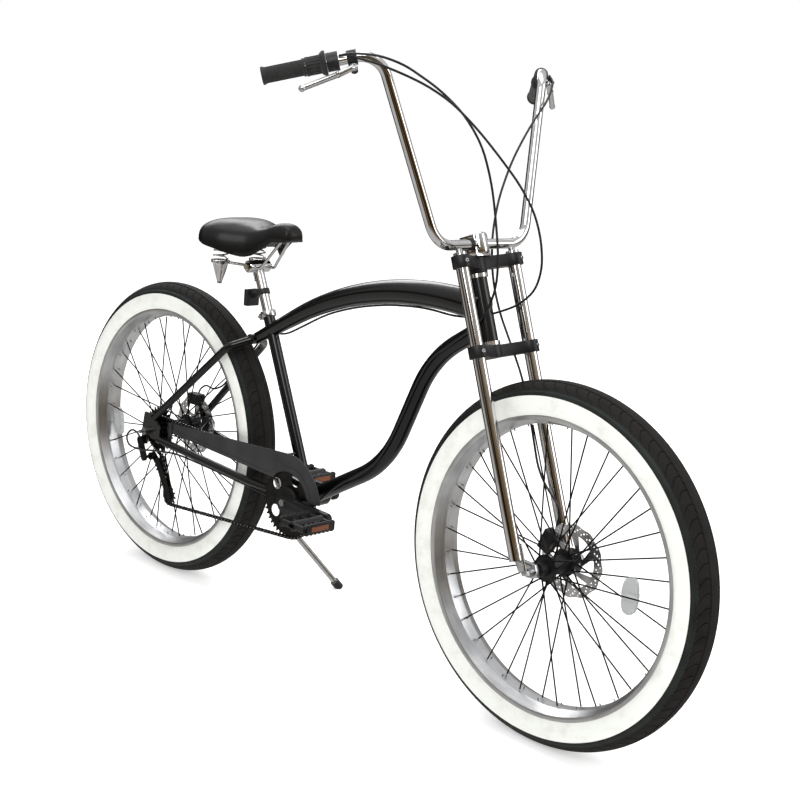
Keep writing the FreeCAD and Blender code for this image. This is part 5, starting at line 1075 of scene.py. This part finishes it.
def chain():
    """Outer and inner links by turns, with a riveted pin and a roller at every pitch."""
    places = chain_places()
    links = []
    for index, (near, far) in enumerate(zip(places, places[1:] + places[:1])):
        ahead = (far - near).normalized()
        outline = link_outline((far - near).length / MM)
        offset = (OUTER_LINK if index % 2 else INNER_LINK) * MM
        for side in BOTH_SIDES:
            place = (near + far) / 2 + Y_AXIS * (side * offset)
            links.append(outline_plate([outline], PLATE_THICKNESS, set_in(place, ahead, ahead.cross(Y_AXIS), -Y_AXIS)))
        links.append(lathe(PIN_PROFILE, 8, near, Y_AXIS, slots=(1, 1, 1)))
        links.append(lathe(ROLLER_PROFILE, 10, near, Y_AXIS, slots=(1,)))
    item = piece("roller_chain", join(*links), None, "drive_black", BLACK_STEEL, ZINC, replaces=["chain"], angle=35)
    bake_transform(item)


# the guard's outline about the crank, in millimetres: radii, tail and the angles of its front end and notch
GUARD_FACE = -71.5
GUARD_OUTER, GUARD_INNER, BAND_INNER = 117, 74, 87
GUARD_TAIL, TAIL_TOP, TAIL_BOTTOM, TAIL_BAND = -484, 86, 64, 75
GUARD_FRONT, BAND_FRONT, GUARD_NOTCH = (math.radians(angle) for angle in (10, 18, 140))
ARC_STEPS = 40
ROLL_RADIUS = 1.7
GUARD_POST = [(3, 13), (3, 69.6)]
GUARD_POST_UP = 112 * MM


def on_guard(x, face, z):
    """A place given from the crank in millimetres, except that face is from the middle of the bicycle."""
    return Vector((CRANK.x + x * MM, face * MM, CRANK.z + z * MM))


def guard_plate(outline, thickness, face):
    """A plate that lies in the plane of the guard."""
    return outline_plate([outline], thickness, set_in(on_guard(0, face, 0), X_AXIS, Z_AXIS, -Y_AXIS))


def chain_guard():
    """A pressed panel with a rolled top edge and a raised band along its lower edge."""
    top, bottom, band_tail = ((GUARD_TAIL, height) for height in (TAIL_TOP, TAIL_BOTTOM, TAIL_BAND))
    crest = math.atan2(top[1], top[0]) - math.acos(GUARD_OUTER / math.hypot(*top))
    outer = arc(GUARD_OUTER, crest, GUARD_FRONT, ARC_STEPS)
    inner = arc(GUARD_INNER, GUARD_FRONT, GUARD_NOTCH, ARC_STEPS)
    band = arc(BAND_INNER, BAND_FRONT, GUARD_NOTCH, ARC_STEPS)
    roll = [on_guard(x, GUARD_FACE + 0.6, z) for x, z in [top] + outer]
    parts = [
        guard_plate(outer + inner + [bottom, top], 2, GUARD_FACE + 1),
        sweep(roll, lambda share: circle(ROLL_RADIUS, 10)),
        guard_plate(inner[3:] + [bottom, band_tail] + band[::-1], 1.0, GUARD_FACE - 0.4),
        lathe(GUARD_POST, 20, SEAT_TUBE_FOOT + SEAT_UP * GUARD_POST_UP, -Y_AXIS),
        rounded_block((14, 3.6, 46), 1, on_guard(GUARD_TAIL + 14, -73.5, TAIL_BOTTOM)),
    ]
    piece("guard_panel", join(*parts), "frame", "guard_paint", GUARD, replaces=["chain_guard"], angle=35)


PEDAL_CORE = [(6.05, -46), (10.5, -46), (12, -44), (11, 0), (12, 44), (10.5, 46), (6.05, 46)]
# the pedal's middle from the crank: along the arm, and aside
PEDAL_REACH = 152 * MM
PEDAL_ASIDE = 141 * MM
# how far out the rails, ribs, studs and lenses lie
PEDAL_RAIL = 41.5 * MM
PEDAL_RIB = 15 * MM
STUD_HEIGHT = 12
PEDAL_LENS = 4.4 * MM
STUD_ROWS = 7
STUD_SPACING = 12.5


def pedal(side, node):
    """A moulded cage: rounded rails with tread blocks, two cheeks, a core and a lens on each rail."""
    middle = Vector((CRANK.x - side * PEDAL_REACH, side * PEDAL_ASIDE, CRANK.z))
    solids = [lathe(PEDAL_CORE, 32, middle, Y_AXIS, closed=True)]
    lenses = []
    for end in BOTH_SIDES:
        rail = middle + X_AXIS * (end * PEDAL_RAIL)
        solids.append(rounded_block((9, 92, 24), 3, rail))
        solids.append(rounded_block((92, 9, 15), 3, middle + Y_AXIS * (end * PEDAL_RAIL)))
        solids.append(rounded_block((84, 6, 9), 2, middle + Y_AXIS * (end * PEDAL_RIB)))
        for row in range(STUD_ROWS):
            for top in BOTH_SIDES:
                place = rail + mm(0, (row - STUD_ROWS // 2) * STUD_SPACING, top * STUD_HEIGHT)
                solids.append(rounded_block((8, 7, 2.6), 0.8, place, 1))
        lenses.append(rounded_block((1.6, 52, 12), 0.6, rail + X_AXIS * (end * PEDAL_LENS), 1))
    piece(node + "_cage", join(*solids), node, "black_plastic", PLASTIC, replaces=[node], angle=35)
    piece(node + "_lenses", join(*lenses), node, "reflector_red", AMBER, angle=35)


chain()
chain_guard()
pedal(-1, "right_pedal")
pedal(1, "left_pedal")


# cables that cross the steering bend between the frame and the fork
for node in ("shift_cable", "rear_brake_cable"):
    mesh = nodes[node].data.copy()
    mesh.materials.clear()
    casing = piece(node + "_casing", mesh, None, "cable_sheath", SHEATH, replaces=[node], angle=None)
    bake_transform(casing)

# kickstand foot
STAND_FOOT = mm(-222, 238, 20)
STAND_KNEE = mm(-290, 82, 215)
FOOT_PROFILE = [(0, -27), (8.4, -27), (11.4, -25), (11.4, -1), (9.5, 0.4), (0, 0.4)]
foot = lathe(FOOT_PROFILE, 36, STAND_FOOT, (STAND_FOOT - STAND_KNEE).normalized())
piece("stand_foot_cap", foot, "kickstand", "grip_rubber", RUBBER)

# finishes of the solids that show as they are
FINISHES = {
    ENAMEL: ("head_tube", "bottom_bracket_shell", "seat_tube", "top_tube", "down_tube", "chain_stays", "seat_stays"),
    SATIN_BLACK: ("front_hub", "rear_hub"),
    CHROME: ("bearing_cups", "fork_legs", "handlebar", "seat_post", "saddle_frame"),
    POLISHED: ("quick_release_lever", "kickstand_leg", "kickstand_bracket"),
    BLACK_STEEL: ("chainring", "freewheel", "derailleur_knuckle", "derailleur_cage"),
    ZINC: ("front_axle", "rear_axle", "crank_spindle", "steerer"),
    PLASTIC: ("control_brackets", "upper_jockey_wheel", "lower_jockey_wheel"),
    SHEATH: ("front_brake_cable",),
}
for finish, names in FINISHES.items():
    for name in names:
        nodes[name].data.materials.clear()
        nodes[name].data.materials.append(finish)


# stage: a pale floor, soft light and the camera
FLOOR_LEAN = math.radians(4.76)
FLOOR_SIZE = 30
CAMERA_PLACE = Vector((2.3959, -2.3128, 1.3418))
CAMERA_YAW = 0.766
CAMERA_PITCH = 0.216
CAMERA_ROLL = 0.083
LENS = 65.42
SENSOR = 36
CLIP_END = 200
LIGHT_TARGET = Vector((0, 0, 0.6))
# softboxes: place, width and height in metres, power in watts
SOFTBOXES = {
    "key": ((2.2, -3.2, 3.4), (2.4, 2.4), 80),
    "fill": ((3.4, 2.2, 2.4), (1.6, 2.6), 40),
    "rim": ((-3.0, 1.6, 3.0), (2.4, 1.6), 55),
    "overhead": ((0, 0, 4.2), (4.0, 2.0), 48),
}
# the sky from straight down to straight up, dark at the horizon
SKY_STOPS = ((0.0, "#f0efed"), (0.4, "#e2dfdb"), (0.45, "#8a7350"), (0.485, "#2a2520"), (0.52, "#57524c"),
             (0.57, "#dbd9d7"), (0.72, "#f6f6f6"), (1.0, "#ffffff"))
# dark and bronze flags round the horizon, from behind the bicycle through its sides to the camera in the middle
FLAG_STOPS = ((0.0, "#9a9a9a"), (0.15, "#3a3632"), (0.19, "#3a3632"), (0.22, "#ffffff"), (0.39, "#ffffff"),
              (0.415, "#1f1b18"), (0.45, "#1f1b18"), (0.475, "#8d744f"), (0.67, "#a08866"), (0.71, "#ffffff"),
              (1.0, "#e8e8e8"))
# the flags fade out between these heights
FLAG_FADE = {"From_Min": 0.3, "From_Max": 0.6, "To_Min": 1.0, "To_Max": 0.0}
GLOW = 0.75
WHITE = (1, 1, 1, 1)


def stage_floor():
    """A wide pale floor that leans as the bicycle leans on its stand."""
    mesh = bmesh.new()
    bmesh.ops.create_grid(mesh, x_segments=1, y_segments=1, size=FLOOR_SIZE)
    mesh.transform(Matrix.Rotation(FLOOR_LEAN, 4, "X"))
    built = bpy.data.meshes.new("floor")
    mesh.to_mesh(built)
    mesh.free()
    built.materials.append(coating("paper_backdrop", "#f4f4f4", noise(400, 2), ((0.3, "#f2f2f2"), (0.7, "#f6f6f6")),
                                   roughness=0.9, emission_color=WHITE, emission_strength=0.45))
    floor = linked("floor", built)
    floor.visible_glossy = False


def studio():
    """White cyclorama light with darker sides, so that chrome has something to mirror."""
    world = bpy.data.worlds.new("studio")
    bpy.context.scene.world = world
    world.use_nodes = True
    tree = world.node_tree
    tree.nodes.clear()

    def mapped(value, **ends):
        inputs = {"Value": value, **{key.replace("_", " "): end for key, end in ends.items()}}
        return add(tree, "ShaderNodeMapRange", inputs).outputs["Result"]

    direction = add(tree, "ShaderNodeTexCoord").outputs["Generated"]
    height = add(tree, "ShaderNodeSeparateXYZ", {"Vector": direction}).outputs["Z"]
    sky = ramp(tree, mapped(height, From_Min=-1.0, From_Max=1.0), *SKY_STOPS)
    aside = Vector((math.cos(CAMERA_YAW), math.sin(CAMERA_YAW), 0))
    toward = Vector((math.sin(CAMERA_YAW), -math.cos(CAMERA_YAW), 0))
    parts = [add(tree, "ShaderNodeVectorMath", {0: direction, 1: axis}, operation="DOT_PRODUCT").outputs["Value"]
             for axis in (aside, toward)]
    angle = add(tree, "ShaderNodeMath", dict(enumerate(parts)), operation="ARCTAN2").outputs["Value"]
    flags = ramp(tree, mapped(angle, From_Min=-math.pi, From_Max=math.pi), *FLAG_STOPS)
    steep = add(tree, "ShaderNodeMath", {0: height}, operation="ABSOLUTE").outputs["Value"]
    level = mapped(steep, **FLAG_FADE)
    flags = add(tree, "ShaderNodeMix", {0: level, 6: WHITE, 7: flags}, data_type="RGBA").outputs[2]
    sky = add(tree, "ShaderNodeVectorMath", {0: sky, 1: flags}, operation="MULTIPLY").outputs["Vector"]
    glow = add(tree, "ShaderNodeBackground", {"Color": sky, "Strength": GLOW}).outputs["Background"]
    white = add(tree, "ShaderNodeBackground", {"Color": WHITE, "Strength": 1.0}).outputs["Background"]
    seen = add(tree, "ShaderNodeLightPath").outputs["Is Camera Ray"]
    mixed = add(tree, "ShaderNodeMixShader", {0: seen, 1: glow, 2: white}).outputs["Shader"]
    add(tree, "ShaderNodeOutputWorld", {"Surface": mixed})


def softbox(name, place, size, power):
    """A rectangular area light that faces the bicycle."""
    light = bpy.data.lights.new(name, "AREA")
    light.shape = "RECTANGLE"
    light.size, light.size_y = size
    light.energy = power
    away = Vector(place) - LIGHT_TARGET
    linked(name, light).matrix_world = Matrix.Translation(place) @ away.to_track_quat("Z", "Y").to_matrix().to_4x4()


def photo_camera():
    """The camera that the photograph was taken with, turned by yaw, pitch and roll."""
    level_ahead = Vector((-math.sin(CAMERA_YAW), math.cos(CAMERA_YAW), 0))
    ahead = level_ahead * math.cos(CAMERA_PITCH) - Z_AXIS * math.sin(CAMERA_PITCH)
    level = ahead.cross(Z_AXIS).normalized()
    above = level.cross(ahead)
    right = level * math.cos(CAMERA_ROLL) + above * math.sin(CAMERA_ROLL)
    up = above * math.cos(CAMERA_ROLL) - level * math.sin(CAMERA_ROLL)
    lens = bpy.data.cameras.new("photo_camera")
    lens.lens = LENS
    lens.sensor_width = SENSOR
    lens.clip_end = CLIP_END
    item = linked("photo_camera", lens)
    item.matrix_world = set_in(CAMERA_PLACE, right, up, -ahead)
    bpy.context.scene.camera = item


stage_floor()
studio()
for name, row in SOFTBOXES.items():
    softbox(name, *row)
photo_camera()
bpy.context.scene.view_settings.view_transform = "Standard"
